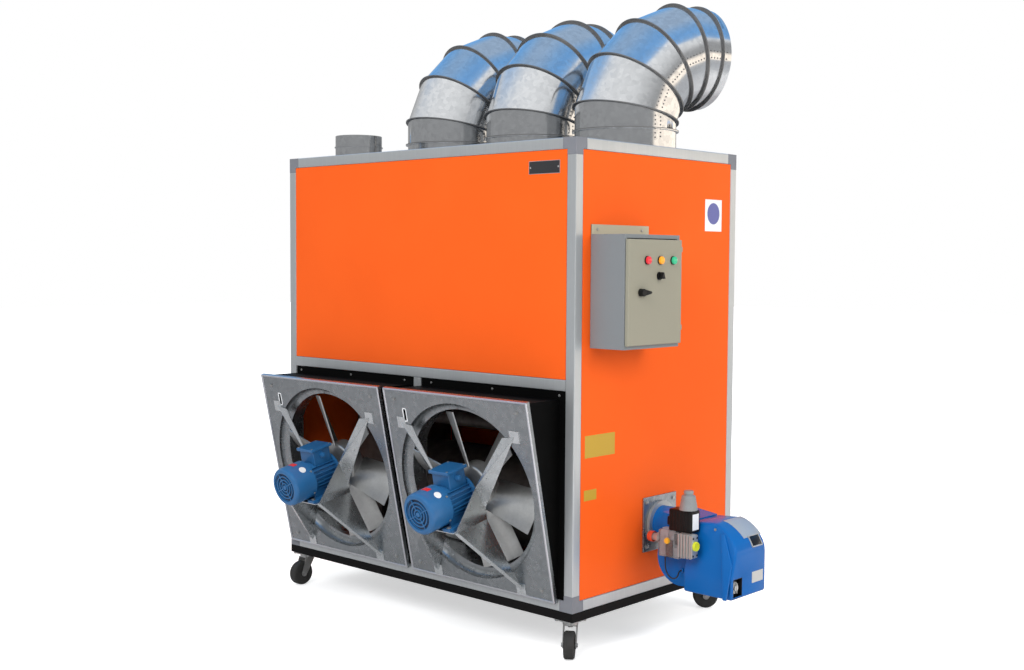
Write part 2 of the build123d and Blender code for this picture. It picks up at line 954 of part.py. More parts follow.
# Motor brackets: two folded cheeks, a shelf under the feet and tabs on the plate
brackets = []
shelf_end = foot_first + foot_pitch + foot_margin
for fan in fans.values():
    with BuildPart() as bracket:
        for side in (-1, 1):
            across = side * web_across
            top, back, low_back, low_front = (
                (across, *point) for point in (web_top, web_back, web_low_back, web_low_front)
            )
            tip_inner, tip_outer, foot_tip = (
                (side * a, h, bracket_sheet) for a, h in (upper_tip_inner, upper_tip_outer, lower_tip)
            )
            edge = Vector(*foot_tip) - Vector(*low_front)
            fold = edge.cross(Vector(*low_back) - Vector(*low_front)).normalized() * side * lower_flange
            sheets = [
                (top, low_front, low_back, back),
                (top, tip_inner, tip_outer),
                (top, back, tip_outer),
                (low_back, low_front, foot_tip),
                (low_front, foot_tip, tuple(Vector(*foot_tip) + fold), tuple(Vector(*low_front) + fold)),
            ]
            for sheet in sheets:
                face, corners = facet(fan, sheet)
                with BuildSketch(face):
                    Polygon(*corners, align=None)
                extrude(amount=bracket_sheet / 2, both=True)
            for a, h in (upper_tip_outer, lower_tip):
                with BuildSketch(fan):
                    with Locations((side * a, h)):
                        Rectangle(bracket_tab, bracket_tab)
                extrude(amount=bracket_sheet)
        with BuildSketch(fan.offset(web_low_back[1])):
            with Locations((0, -foot_height - bracket_sheet / 2)):
                Rectangle(2 * web_across, bracket_sheet)
        extrude(amount=shelf_end - web_low_back[1])
        split(bisect_by=fan, keep=Keep.TOP)
    brackets.append(bracket)
save_group("motor_brackets", brackets)

# Fan motors
motor_housings = []
terminal_boxes = []
motor_covers = []
bore = shaft_radius + running_gap
cavity = rotor_radius + rotor_gap
cover_radius = bell_radius + cover_sheet
for side, fan in fans.items():
    with BuildPart() as housing:
        with BuildSketch(section_plane(fan)):
            Polygon(
                (bore, motor_start),
                (bell_radius, motor_start),
                (bell_radius, motor_start + bell_length),
                (motor_radius, motor_start + bell_length),
                (motor_radius, motor_end - bell_length),
                (bell_radius, motor_end - bell_length),
                (bell_radius, motor_end),
                (bore, motor_end),
                (bore, motor_end - bearing_length),
                (cavity, motor_end - bearing_length),
                (cavity, motor_start + bearing_length),
                (bore, motor_start + bearing_length),
                align=None,
            )
        revolve(axis=Axis(fan.origin, fan.z_dir))
        fin_height = fin_radius - motor_radius
        fin_middle = motor_radius + fin_height / 2
        fin_span = 2 * fin_half_span
        with BuildSketch(fan.offset(motor_start + bell_length)):
            for middle in (0, 180):
                fin_first = middle - fin_half_span
                with PolarLocations(fin_middle, fin_count, fin_first, fin_span, endpoint=True):
                    Rectangle(fin_height + fin_width, fin_width)
        extrude(amount=motor_end - motor_start - 2 * bell_length)
        foot_start = foot_first - foot_margin
        with BuildSketch(fan.offset(foot_start)):
            with GridLocations(foot_spacing, 0, 2, 1):
                with Locations((0, foot_thickness / 2 - foot_height)):
                    Rectangle(foot_width, foot_thickness)
        extrude(amount=foot_pitch + 2 * foot_margin)
        with BuildSketch(fan.offset(foot_start)):
            with GridLocations(foot_spacing - foot_width + foot_web, 0, 2, 1):
                with Locations((0, -(foot_height + foot_width) / 2)):
                    Rectangle(foot_web, foot_height - foot_width)
        extrude(amount=cover_start - foot_start)
        for step in (0, foot_pitch):
            with BuildSketch(section_plane(fan).offset(foot_height)):
                with Locations((0, foot_first + step)):
                    with GridLocations(foot_spacing, 0, 2, 1):
                        Circle(foot_bolt_radius)
            extrude(amount=-foot_thickness, mode=Mode.SUBTRACT)
    motor_housings.append(housing)

    with BuildPart() as terminal_box:
        with BuildSketch(fan.offset(box_start)):
            with Locations((0, box_top / 2)):
                Rectangle(box_width, box_top)
            Circle(motor_radius, mode=Mode.SUBTRACT)
        extrude(amount=box_length)
        with BuildSketch(fan.offset(lid_start)):
            with Locations((0, box_top + lid_thickness / 2)):
                Rectangle(lid_width, lid_thickness)
        extrude(amount=lid_length)
    terminal_boxes.append(terminal_box)

    with BuildPart() as motor_cover:
        with BuildSketch(fan.offset(cover_start)):
            Circle(cover_radius)
        extrude(amount=cover_end - cover_start)
        fillet(motor_cover.faces().sort_by(Axis(fan.origin, fan.z_dir))[-1].edges(), cover_round)
        with BuildSketch(fan.offset(cover_start)):
            Circle(bell_radius)
        extrude(amount=cover_end - cover_round - cover_start, mode=Mode.SUBTRACT)
        with BuildSketch(fan.offset(cover_end - cover_round)):
            Circle(cover_radius - cover_round)
        extrude(amount=cover_round - cover_sheet, mode=Mode.SUBTRACT)
        with BuildSketch(fan.offset(cover_end)):
            with PolarLocations((grille_inner + grille_outer) / 2, grille_slots):
                Rectangle(grille_outer - grille_inner, grille_slot_width)
        extrude(amount=-cover_round, mode=Mode.SUBTRACT)
    motor_covers.append(motor_cover)

    hub_end = -impeller_front - impeller_hub_length
    rotor = turned(
        fan,
        (
            (0, -impeller_front - shaft_in_hub),
            (shaft_radius, -impeller_front - shaft_in_hub),
            (shaft_radius, rotor_start),
            (rotor_radius, rotor_start),
            (rotor_radius, rotor_end),
            (shaft_radius, rotor_end),
            (shaft_radius, cooling_end),
            (0, cooling_end),
        ),
    )
    with BuildPart() as cooling_fan:
        with BuildSketch(fan.offset(cooling_start)):
            Circle(cooling_hub_radius)
            with PolarLocations(cooling_radius / 2, cooling_blades):
                Rectangle(cooling_radius, cooling_blade_width)
            Circle(shaft_radius, mode=Mode.SUBTRACT)
        extrude(amount=cooling_end - cooling_start)
    save_group(f"motor_rotor_{side}", [rotor, cooling_fan])

    with BuildPart() as impeller:
        with BuildSketch(fan.offset(hub_end)):
            Circle(impeller_hub_radius)
        extrude(amount=impeller_hub_length)
        fillet(impeller.edges().filter_by(GeomType.CIRCLE), impeller_hub_round)
        for i in range(blade_count):
            heading = radians(blade_first + 360 * i / blade_count)
            radial = fan.x_dir * cos(heading) + fan.y_dir * sin(heading)
            tangent = fan.y_dir * cos(heading) - fan.x_dir * sin(heading)
            for reach, chord, pitch in (
                (impeller_hub_radius - impeller_hub_round, blade_root_chord, radians(blade_root_pitch)),
                (impeller_radius + blade_camber, blade_tip_chord, radians(blade_tip_pitch)),
            ):
                section = Plane(
                    origin=fan.origin + radial * reach - fan.z_dir * blade_middle,
                    x_dir=tangent * cos(pitch) - fan.z_dir * sin(pitch),
                    z_dir=radial,
                )
                half = chord / 2
                under = -blade_thickness
                with BuildSketch(section):
                    with BuildLine():
                        ThreePointArc((-half, 0), (0, blade_camber), (half, 0))
                        Line((half, 0), (half, under))
                        ThreePointArc((half, under), (0, blade_camber + under), (-half, under))
                        Line((-half, under), (-half, 0))
                    make_face()
            loft()
        with BuildSketch(fan.offset(-blade_middle)):
            Circle(impeller_radius)
        extrude(amount=blade_tip_chord, both=True, mode=Mode.INTERSECT)
        with BuildSketch(fan.offset(-impeller_front - shaft_in_hub)):
            Circle(shaft_radius)
        extrude(amount=shaft_in_hub, mode=Mode.SUBTRACT)
    impeller.part.label = f"impeller_{side}"
    export_step(impeller.part, f"parts/impeller_{side}.step")
save_group("motor_housings", motor_housings)
save_group("terminal_boxes", terminal_boxes)
save_group("motor_fan_covers", motor_covers)


# Combustion chamber: a drum along X with a burner port, standing on two welded feet
burner_point = (burner_y, burner_z)
chamber_left = left + chamber_start
chamber_right = left + chamber_end
port_radius = blast_tube_radius + hole_clearance
floor_top = sill + panel_sheet
with BuildPart() as combustion_chamber:
    foot_height_above = burner_z - floor_top
    for x in (chamber_left + chamber_foot_width, chamber_right - chamber_foot_width):
        with BuildSketch(Plane(origin=(x, burner_y, floor_top))):
            Rectangle(chamber_foot_thickness, chamber_foot_width)
        extrude(amount=foot_height_above)
    with BuildSketch(Plane(origin=(chamber_left, *burner_point), z_dir=(1, 0, 0))):
        Circle(chamber_radius)
    extrude(amount=chamber_end - chamber_start)
    with BuildSketch(Plane(origin=(chamber_left, *burner_point), z_dir=(1, 0, 0))):
        Circle(chamber_radius - chamber_sheet)
    extrude(amount=chamber_end - chamber_start - chamber_sheet, mode=Mode.SUBTRACT)
    with BuildSketch(Plane(origin=(chamber_right, *burner_point), z_dir=(1, 0, 0))):
        Circle(port_radius)
    extrude(amount=-chamber_sheet, mode=Mode.SUBTRACT)
combustion_chamber.part.label = "combustion_chamber"
export_step(combustion_chamber.part, "parts/combustion_chamber.step")

# Smoke boxes: the gas turns from the drum into the lower tubes, then back through the upper ones
tube_left = chamber_left
tube_right = left + smoke_right_start
tube_ys = [burner_y + (i - (tube_columns - 1) / 2) * tube_pitch for i in range(tube_columns)]
tube_steps = [(i - (tube_rows - 1) / 2) * tube_pitch for i in range(tube_rows)]
lower_tubes = [(y, deck + lower_tubes_height + step) for y in tube_ys for step in tube_steps]
upper_tubes = [(y, deck + upper_tubes_height + step) for y in tube_ys for step in tube_steps]
smoke_front = burner_y - smoke_depth_y / 2
smoke_rear = burner_y + smoke_depth_y / 2
flue_front = flue_y - flue_radius - smoke_sheet - hole_clearance
smoke_left = left + smoke_left_start
flue_left = min(smoke_left, flue_x - flue_radius - smoke_sheet)


def smoke_box(low, high, wall_x, ports, top_ports=()):
    """Closed sheet box with round ports in one X wall, and in its roof."""
    size = [b - a for a, b in zip(low, high)]
    with BuildPart() as box:
        with Locations(tuple((a + b) / 2 for a, b in zip(low, high))):
            Box(*size)
            Box(*(length - 2 * smoke_sheet for length in size), mode=Mode.SUBTRACT)
        for y, z, radius in ports:
            with BuildSketch(Plane(origin=(wall_x, y, z), z_dir=(1, 0, 0))):
                Circle(radius)
            extrude(amount=smoke_sheet, both=True, mode=Mode.SUBTRACT)
        for x, y, radius in top_ports:
            with BuildSketch(Plane(origin=(x, y, high[2]))):
                Circle(radius)
            extrude(amount=-smoke_sheet, mode=Mode.SUBTRACT)
    return box


tube_bore = tube_radius - tube_sheet
smoke_boxes = [
    smoke_box(
        (smoke_left, smoke_front, sill + smoke_left_low),
        (chamber_left, smoke_rear, deck + turning_box_top),
        chamber_left,
        [(*burner_point, chamber_radius - chamber_sheet)] + [(*spot, tube_bore) for spot in lower_tubes],
    ),
    smoke_box(
        (tube_right, smoke_front, deck + smoke_right_low),
        (chamber_right, smoke_rear, deck + flue_box_top),
        tube_right,
        [(*spot, tube_bore) for spot in lower_tubes + upper_tubes],
    ),
    smoke_box(
        (flue_left, flue_front, deck + flue_box_low),
        (chamber_left, smoke_rear, deck + flue_box_top),
        chamber_left,
        [(*spot, tube_bore) for spot in upper_tubes],
        [(flue_x, flue_y, flue_radius - flue_sheet)],
    ),
]
save_group("smoke_boxes", smoke_boxes)

with BuildPart() as exchanger_tubes:
    for spot in lower_tubes + upper_tubes:
        with BuildSketch(Plane(origin=(tube_left, *spot), z_dir=(1, 0, 0))):
            Circle(tube_radius)
            Circle(tube_bore, mode=Mode.SUBTRACT)
        extrude(amount=tube_right - tube_left)
exchanger_tubes.part.label = "exchanger_tubes"
export_step(exchanger_tubes.part, "parts/exchanger_tubes.step")

# Control enclosure on the right side, its origin at the wall, front edge and underside
wall = Plane(
    origin=(right, front + enclosure_start_y, deck + enclosure_low), x_dir=(0, 1, 0), z_dir=(1, 0, 0)
)
mid_width = enclosure_width / 2
mid_height = enclosure_height / 2
with BuildPart() as enclosure_body:
    with BuildSketch(wall):
        with Locations((mid_width, mid_height)):
            Rectangle(enclosure_width, enclosure_height)
    extrude(amount=enclosure_depth)
    with BuildSketch(wall.offset(enclosure_sheet)):
        with Locations((mid_width, mid_height)):
            Rectangle(enclosure_width - 2 * enclosure_sheet, enclosure_height - 2 * enclosure_sheet)
    extrude(amount=enclosure_depth - 2 * enclosure_sheet, mode=Mode.SUBTRACT)
    with BuildSketch(wall.offset(enclosure_depth)):
        with Locations((mid_width, mid_height)):
            Rectangle(enclosure_width - 2 * enclosure_lip, enclosure_height - 2 * enclosure_lip)
    extrude(amount=-enclosure_sheet, mode=Mode.SUBTRACT)
    with BuildSketch(wall):
        with Locations((mid_width, enclosure_height + lug_height / 2)):
            Rectangle(enclosure_width, lug_height)
    extrude(amount=lug_thickness)
    underside = Plane(origin=wall.origin + Vector(cable_hole_x, mid_width, 0))
    with BuildSketch(underside):
        Circle(cable_hole_radius)
    extrude(amount=enclosure_sheet, mode=Mode.SUBTRACT)
    hinge_y = enclosure_width + hinge_out
    hinge_zs = (hinge_inset, enclosure_height - hinge_inset)
    hinge_x = enclosure_depth - hinge_barrel_radius
    for z in hinge_zs:
        knuckle = Plane(origin=wall.origin + Vector(hinge_x, hinge_y, z))
        with BuildSketch(knuckle):
            Circle(hinge_barrel_radius)
            with Locations((0, -hinge_out / 2)):
                Rectangle(hinge_leaf, hinge_out)
            Circle(hinge_pin_radius, mode=Mode.SUBTRACT)
        extrude(amount=-hinge_knuckle)
enclosure_body.part.label = "enclosure_body"
export_step(enclosure_body.part, "parts/enclosure_body.step")

# Door: a folded tray in front of the body, with the upper knuckle of each hinge
door_back = wall.offset(enclosure_depth + door_gap)
door_mid = (door_inset + door_width / 2, door_low + door_height / 2)
door_skin = door_back.offset(door_depth - enclosure_sheet)
door_front = door_back.offset(door_depth)
lamp_spots = [(lamp_first_y + i * lamp_spacing, lamp_height) for i in range(3)]
selector_spot = (selector_y, selector_height)
lock_spot = (lock_y, lock_height)
with BuildPart() as enclosure_door:
    with BuildSketch(door_back):
        with Locations(door_mid):
            Rectangle(door_width, door_height)
    extrude(amount=door_depth)
    fillet(enclosure_door.faces().sort_by(Axis.X)[-1].edges(), door_round)
    with BuildSketch(door_back):
        with Locations(door_mid):
            Rectangle(door_width - 2 * door_round, door_height - 2 * door_round)
    extrude(amount=door_depth - enclosure_sheet, mode=Mode.SUBTRACT)
    with BuildSketch(door_skin):
        with Locations(*lamp_spots):
            Circle(lamp_body_radius)
        with Locations(selector_spot):
            Circle(selector_radius + running_gap)
        with Locations(lock_spot):
            Circle(lock_radius + running_gap)
    extrude(amount=enclosure_sheet, mode=Mode.SUBTRACT)
    for z in hinge_zs:
        knuckle = Plane(origin=wall.origin + Vector(hinge_x, hinge_y, z + hinge_gap))
        reach = door_gap + hinge_barrel_radius + door_depth / 2
        with BuildSketch(knuckle):
            Circle(hinge_barrel_radius)
            with Locations((reach / 2, 0)):
                Rectangle(reach, hinge_leaf)
            with Locations((reach, (door_inset + door_width - hinge_y) / 2)):
                Rectangle(hinge_leaf, hinge_y - door_inset - door_width + hinge_leaf)
            Circle(hinge_pin_radius + running_gap, mode=Mode.SUBTRACT)
        extrude(amount=hinge_knuckle)
enclosure_door.part.label = "enclosure_door"
export_step(enclosure_door.part, "parts/enclosure_door.step")

with BuildPart() as door_gasket:
    gasket_start = enclosure_depth + gasket_gap
    gasket_end = enclosure_depth + door_gap + door_depth - enclosure_sheet
    gasket_out = door_width - 2 * door_round - 2 * gasket_inset
    gasket_up = door_height - 2 * door_round - 2 * gasket_inset
    with BuildSketch(wall.offset(gasket_start)):
        with Locations(door_mid):
            Rectangle(gasket_out, gasket_up)
            Rectangle(gasket_out - 2 * gasket_width, gasket_up - 2 * gasket_width, mode=Mode.SUBTRACT)
    extrude(amount=gasket_end - gasket_start)
door_gasket.part.label = "door_gasket"
export_step(door_gasket.part, "parts/door_gasket.step")

with BuildPart() as hinge_pins:
    for z in hinge_zs:
        with BuildSketch(Plane(origin=wall.origin + Vector(hinge_x, hinge_y, z - hinge_knuckle))):
            Circle(hinge_pin_radius)
        extrude(amount=2 * hinge_knuckle + hinge_gap)
hinge_pins.part.label = "hinge_pins"
export_step(hinge_pins.part, "parts/hinge_pins.step")

with BuildPart() as door_lamps:
    with Locations(*[door_front * Pos(y, z, 0) for y, z in lamp_spots]):
        for radius, base, height in (
            (lamp_bezel_radius, 0, lamp_bezel_height),
            (lamp_lens_radius, 0, lamp_lens_height),
            (lamp_body_radius, -lamp_body_length, lamp_body_length),
        ):
            with Locations((0, 0, base)):
                Cylinder(radius, height, align=(Align.CENTER, Align.CENTER, Align.MIN))
door_lamps.part.label = "door_lamps"
export_step(door_lamps.part, "parts/door_lamps.step")

with BuildPart() as selector_switch:
    with BuildSketch(door_front):
        with Locations(selector_spot):
            Circle(selector_radius)
    extrude(amount=-lamp_body_length)
    with BuildSketch(door_front):
        with Locations(selector_spot):
            Circle(selector_bezel_radius)
    extrude(amount=lamp_bezel_height)
    with BuildSketch(door_front.offset(lamp_bezel_height)):
        with Locations(selector_spot):
            Rectangle(selector_grip_length, selector_grip_width)
    extrude(amount=selector_grip_height)
selector_switch.part.label = "selector_switch"
export_step(selector_switch.part, "parts/selector_switch.step")

# Door lock: a lever on the front and a cam behind the skin, clear of the gasket
with BuildPart() as door_lock:
    with BuildSketch(door_front):
        with Locations(lock_spot):
            Circle(lock_radius)
    extrude(amount=-enclosure_sheet - gasket_width)
    with BuildSketch(door_front):
        with Locations(lock_spot):
            Circle(lock_boss_radius)
    extrude(amount=lock_boss_height)
    with BuildSketch(door_front.offset(lock_boss_height)):
        with Locations(lock_spot):
            Circle(lock_boss_radius)
        with Locations((lock_y + lock_lever_length / 2, lock_height)):
            SlotOverall(lock_lever_length + lock_lever_width, lock_lever_width)
    extrude(amount=lock_lever_thickness)
    with BuildSketch(door_front.offset(-enclosure_sheet - gasket_width)):
        with Locations((lock_y - lock_cam_length / 2, lock_height)):
            Rectangle(lock_cam_length, lock_cam_width)
    extrude(amount=lock_cam_thickness)
door_lock.part.label = "door_lock"
export_step(door_lock.part, "parts/door_lock.step")

# Control gear: plate, rail, contactors and terminal strip
gear_start = wall.offset(enclosure_sheet + gear_plate_out)
rail_start = gear_start.offset(gear_plate_thickness)
gear_pieces = []
gear_rail = (enclosure_width - 4 * gear_plate_margin, rail_height)
gear_shapes = [
    (wall.offset(enclosure_sheet), (mid_width, mid_height), (rail_height, rail_height), gear_plate_out),
    (
        gear_start,
        (mid_width, mid_height),
        (enclosure_width - 2 * gear_plate_margin, enclosure_height - 2 * gear_plate_margin),
        gear_plate_thickness,
    ),
    (rail_start, (mid_width, mid_height), gear_rail, rail_depth),
    (
        rail_start,
        (mid_width, gear_plate_margin + terminal_height),
        (terminal_width, terminal_height),
        terminal_depth,
    ),
]
gear_shapes += [
    (
        rail_start.offset(rail_depth),
        (mid_width + (i - (contactor_count - 1) / 2) * contactor_pitch, mid_height),
        (contactor_width, contactor_height),
        contactor_depth,
    )
    for i in range(contactor_count)
]
for plane, spot, outline, depth in gear_shapes:
    with BuildPart() as gear_piece:
        with BuildSketch(plane):
            with Locations(spot):
                Rectangle(*outline)
        extrude(amount=depth)
    gear_pieces.append(gear_piece)
save_group("control_gear", gear_pieces)

# Burner: wall plate, then the head with its flange and blast tube
plate_face = right - panel_inset + burner_plate_thickness
burner_wall = Plane(origin=(right - panel_inset, *burner_point), x_dir=(0, 1, 0), z_dir=(1, 0, 0))
with BuildPart() as burner_plate:
    with BuildSketch(burner_wall):
        Rectangle(burner_plate_size, burner_plate_size)
        Circle(port_radius, mode=Mode.SUBTRACT)
    extrude(amount=burner_plate_thickness)
burner_plate.part.label = "burner_plate"
export_step(burner_plate.part, "parts/burner_plate.step")

head_start = Plane(origin=(plate_face, *burner_point), x_dir=(0, 1, 0), z_dir=(1, 0, 0))
head_length = right + head_reach - plate_face
blast_bore = blast_tube_radius - blast_tube_wall
with BuildPart() as burner_head:
    for radius, start, length in (
        (head_flange_radius, 0, head_flange_thickness),
        (head_radius, 0, head_length),
        (blast_tube_radius, 0, -blast_tube_length),
    ):
        with BuildSketch(head_start.offset(start)):
            Circle(radius)
        extrude(amount=length)
    with BuildSketch(head_start.offset(-blast_tube_length)):
        Circle(blast_bore)
    extrude(amount=blast_tube_length + head_length, mode=Mode.SUBTRACT)
burner_head.part.label = "burner_head"
export_step(burner_head.part, "parts/burner_head.step")


def burner_side(y):
    """Plane across the burner at a depth: X out from the cabinet's side, Y up from the base."""
    return Plane(origin=(right, front + y, deck), x_dir=(1, 0, 0), z_dir=(0, -1, 0))


# Fan housing: a drum with a box that leads the air up to the head
scroll_length = scroll_end_y - scroll_start_y
shaft_bore = burner_shaft_radius + running_gap
with BuildPart() as burner_housing:
    with BuildSketch(burner_side(scroll_start_y)) as scroll:
        with Locations((scroll_x, scroll_height)):
            Circle(scroll_radius)
        Polygon(
            (head_reach, scroll_box_low),
            (head_reach, scroll_box_top),
            (scroll_box_end, scroll_box_top - scroll_box_fall),
            (scroll_box_end, scroll_height),
            (scroll_x, scroll_height),
            align=None,
        )
    extrude(amount=-scroll_length)
    with BuildSketch(burner_side(scroll_start_y + scroll_wall)):
        add(scroll.sketch_local)
        offset(amount=-scroll_wall, kind=Kind.INTERSECTION, mode=Mode.REPLACE)
    extrude(amount=2 * scroll_wall - scroll_length, mode=Mode.SUBTRACT)
    with BuildSketch(head_start):
        Circle(head_radius)
    extrude(amount=head_length, mode=Mode.SUBTRACT)
    with BuildSketch(head_start):
        Circle(blast_bore)
    extrude(amount=head_length + scroll_wall, mode=Mode.SUBTRACT)
    with BuildSketch(burner_side(scroll_end_y)):
        with Locations((scroll_x, scroll_height)):
            Circle(shaft_bore)
    extrude(amount=scroll_wall, mode=Mode.SUBTRACT)
    with BuildSketch(burner_side(scroll_start_y)):
        with Locations(lead_end):
            Circle(lead_gland_radius)
    extrude(amount=lead_gland_length)
burner_housing.part.label = "burner_housing"
export_step(burner_housing.part, "parts/burner_housing.step")

wheel_radius_out = scroll_radius - scroll_wall - wheel_housing_gap
wheel_length = fan_wheel_end_y - fan_wheel_start_y
with BuildPart() as burner_wheel:
    with Locations(burner_side(fan_wheel_end_y)):
        with Locations((scroll_x, scroll_height, 0)):
            for radius, length in (
                (wheel_radius_out, fan_wheel_back),
                (fan_wheel_hub_radius, wheel_length / 2),
            ):
                Cylinder(radius, length, align=(Align.CENTER, Align.CENTER, Align.MIN))
            Cylinder(
                burner_shaft_radius,
                scroll_end_y - fan_wheel_end_y + burner_shaft_length,
                align=(Align.CENTER, Align.CENTER, Align.MAX),
            )
    with BuildSketch(burner_side(fan_wheel_end_y)):
        with Locations((scroll_x, scroll_height)):
            with PolarLocations(wheel_radius_out - fan_wheel_vane_depth / 2, fan_wheel_vanes):
                Rectangle(fan_wheel_vane_depth, fan_wheel_wall)
    extrude(amount=wheel_length - fan_wheel_back)
    with BuildSketch(burner_side(fan_wheel_start_y + fan_wheel_back)):
        with Locations((scroll_x, scroll_height)):
            Circle(wheel_radius_out)
            Circle(wheel_radius_out - fan_wheel_vane_depth, mode=Mode.SUBTRACT)
    extrude(amount=fan_wheel_back)
burner_wheel.part.label = "burner_wheel"
export_step(burner_wheel.part, "parts/burner_wheel.step")

with BuildPart() as burner_motor:
    with BuildSketch(burner_side(scroll_end_y)):
        with Locations((scroll_x, scroll_height)):
            Circle(burner_motor_radius)
    extrude(amount=-burner_motor_length)
    fillet(burner_motor.faces().sort_by(Axis.Y)[-1].edges(), burner_motor_round)
    with BuildSketch(burner_side(scroll_end_y)):
        with Locations((scroll_x, scroll_height)):
            Circle(shaft_bore)
    extrude(amount=-burner_shaft_length - hole_clearance, mode=Mode.SUBTRACT)
burner_motor.part.label = "burner_motor"
export_step(burner_motor.part, "parts/burner_motor.step")


def cover_form(inset, start):
    """Solid form of the burner cover, inset on every side but its open left one."""
    with BuildPart() as form:
        with BuildSketch(burner_side(burner_cover_front_y + inset)):
            with BuildLine():
                low = burner_cover_low + inset
                end = burner_cover_end - inset
                bulge = tuple(value - inset * cos(radians(45)) for value in burner_cover_bulge)
                top_end = (burner_cover_top_end, burner_cover_top - inset)
                Line((start, low), (end, low))
                Line((end, low), (end, burner_cover_shoulder))
                ThreePointArc((end, burner_cover_shoulder), bulge, top_end)
                Line(top_end, (start, burner_cover_left_top - inset))
                Line((start, burner_cover_left_top - inset), (start, low))
            make_face()
        extrude(amount=-(burner_cover_rear_y - burner_cover_front_y - 2 * inset))
        slope_plane = Plane(origin=(right + start, front, deck), x_dir=(0, 1, 0), z_dir=(1, 0, 0))
        with BuildSketch(slope_plane):
            near = burner_cover_front_y + inset
            Polygon(
                (near, burner_slope_start),
                (near + burner_slope_in, burner_cover_top),
                (near + burner_slope_in, burner_cover_top + burner_slope_in),
                (near, burner_cover_top + burner_slope_in),
                align=None,
            )
        extrude(amount=burner_cover_end - start, mode=Mode.SUBTRACT)
    return form


cover_outer = cover_form(0, burner_cover_start)
cover_inner = cover_form(burner_cover_wall, burner_cover_start - burner_cover_wall)
window_plane = Plane(
    origin=(right + window_spot[0], front + window_y, deck + window_spot[1]),
    x_dir=(0, 1, 0),
    z_dir=(cos(radians(window_tilt)), 0, sin(radians(window_tilt))),
)
dial_low_y, dial_high_y, dial_low_z, dial_high_z = dial_box
cover_face = Plane(origin=(right + burner_cover_end, front, deck), x_dir=(0, 1, 0), z_dir=(1, 0, 0))
dial_centre = ((dial_low_y + dial_high_y) / 2, (dial_low_z + dial_high_z) / 2)
dial_size = (dial_high_y - dial_low_y, dial_high_z - dial_low_z)
with BuildPart() as burner_cover:
    add(cover_outer.part)
    add(cover_inner.part, mode=Mode.SUBTRACT)
    with BuildSketch(window_plane.offset(window_proud)):
        Rectangle(window_width, window_height)
    extrude(amount=-window_depth - window_proud, mode=Mode.SUBTRACT)
    with BuildSketch(cover_face):
        with Locations(dial_centre):
            Rectangle(*dial_size)
    extrude(amount=-burner_cover_wall, mode=Mode.SUBTRACT)
burner_cover.part.label = "burner_cover"
export_step(burner_cover.part, "parts/burner_cover.step")

# Cover fittings: the display window and the damper dial in its box
with BuildPart() as display_window:
    with BuildSketch(window_plane.offset(window_proud)):
        Rectangle(window_width, window_height)
    extrude(amount=-window_depth - window_proud)

with BuildPart() as damper_dial:
    with BuildSketch(cover_face):
        with Locations(dial_centre):
            Rectangle(*dial_size)
    extrude(amount=-dial_box_depth)
    with BuildSketch(cover_face):
        with Locations(dial_centre):
            Rectangle(*(side - 2 * dial_box_wall for side in dial_size))
    extrude(amount=dial_box_wall - dial_box_depth, mode=Mode.SUBTRACT)
    with BuildSketch(cover_face.offset(dial_box_wall - dial_box_depth)):
        with Locations(dial_centre):
            Circle(dial_radius)
    extrude(amount=dial_thickness)
save_group("cover_fittings", [display_window, damper_dial])


def burner_block(low, high):
    """A box on the burner, its corners from the cabinet's side, front face and base."""
    base = (right, front, deck)
    return block([b + v for b, v in zip(base, low)], [b + v for b, v in zip(base, high)])


# Gas valve: ribbed body, a link to the pressure switch and the inlet pipe
with BuildPart() as valve_body:
    add(burner_block((valve_start, valve_front_y, valve_low), (valve_end, valve_back_y, valve_top)).part)
    with BuildSketch(burner_side(valve_front_y)):
        with Locations(((valve_start + valve_end) / 2, (valve_low + valve_top) / 2)):
            with GridLocations((valve_end - valve_start) / valve_rib_count, 0, valve_rib_count, 1):
                Rectangle(valve_rib_gap, valve_top - valve_low)
    extrude(amount=-valve_rib_depth, mode=Mode.SUBTRACT)
inlet_z = deck + inlet_height
link_spot = (right + switch_end, front + link_y, inlet_z)
link = rod(link_spot, (1, 0, 0), link_radius, valve_start - switch_end)
inlet_spot = (right + inlet_end, front + inlet_y, inlet_z)
inlet = rod(inlet_spot, (1, 0, 0), inlet_radius, switch_start - inlet_end)
save_group("gas_valve", [valve_body, link, inlet])

solenoid_coil = burner_block((coil_start, coil_front_y, valve_top), (coil_end, coil_back_y, coil_top))
solenoid_coil.part.label = "solenoid_coil"
export_step(solenoid_coil.part, "parts/solenoid_coil.step")

with BuildPart() as gas_regulator:
    base = coil_top
    for radius, height in regulator_steps:
        with BuildSketch(Plane(origin=(right + regulator_x, front + regulator_y, deck + base))):
            Circle(radius)
        extrude(amount=height)
        base += height
gas_regulator.part.label = "gas_regulator"
export_step(gas_regulator.part, "parts/gas_regulator.step")

switch_corners = ((switch_start, switch_front_y, switch_low), (switch_end, coil_back_y, valve_top))
with BuildPart() as pressure_switch:
    add(burner_block(*switch_corners).part)
    with BuildSketch(burner_side(switch_front_y)):
        with Locations(((switch_start + switch_end) / 2, (switch_low + valve_top) / 2)):
            Circle(switch_knob_radius)
    extrude(amount=switch_knob_out)
pressure_switch.part.label = "pressure_switch"
export_step(pressure_switch.part, "parts/pressure_switch.step")

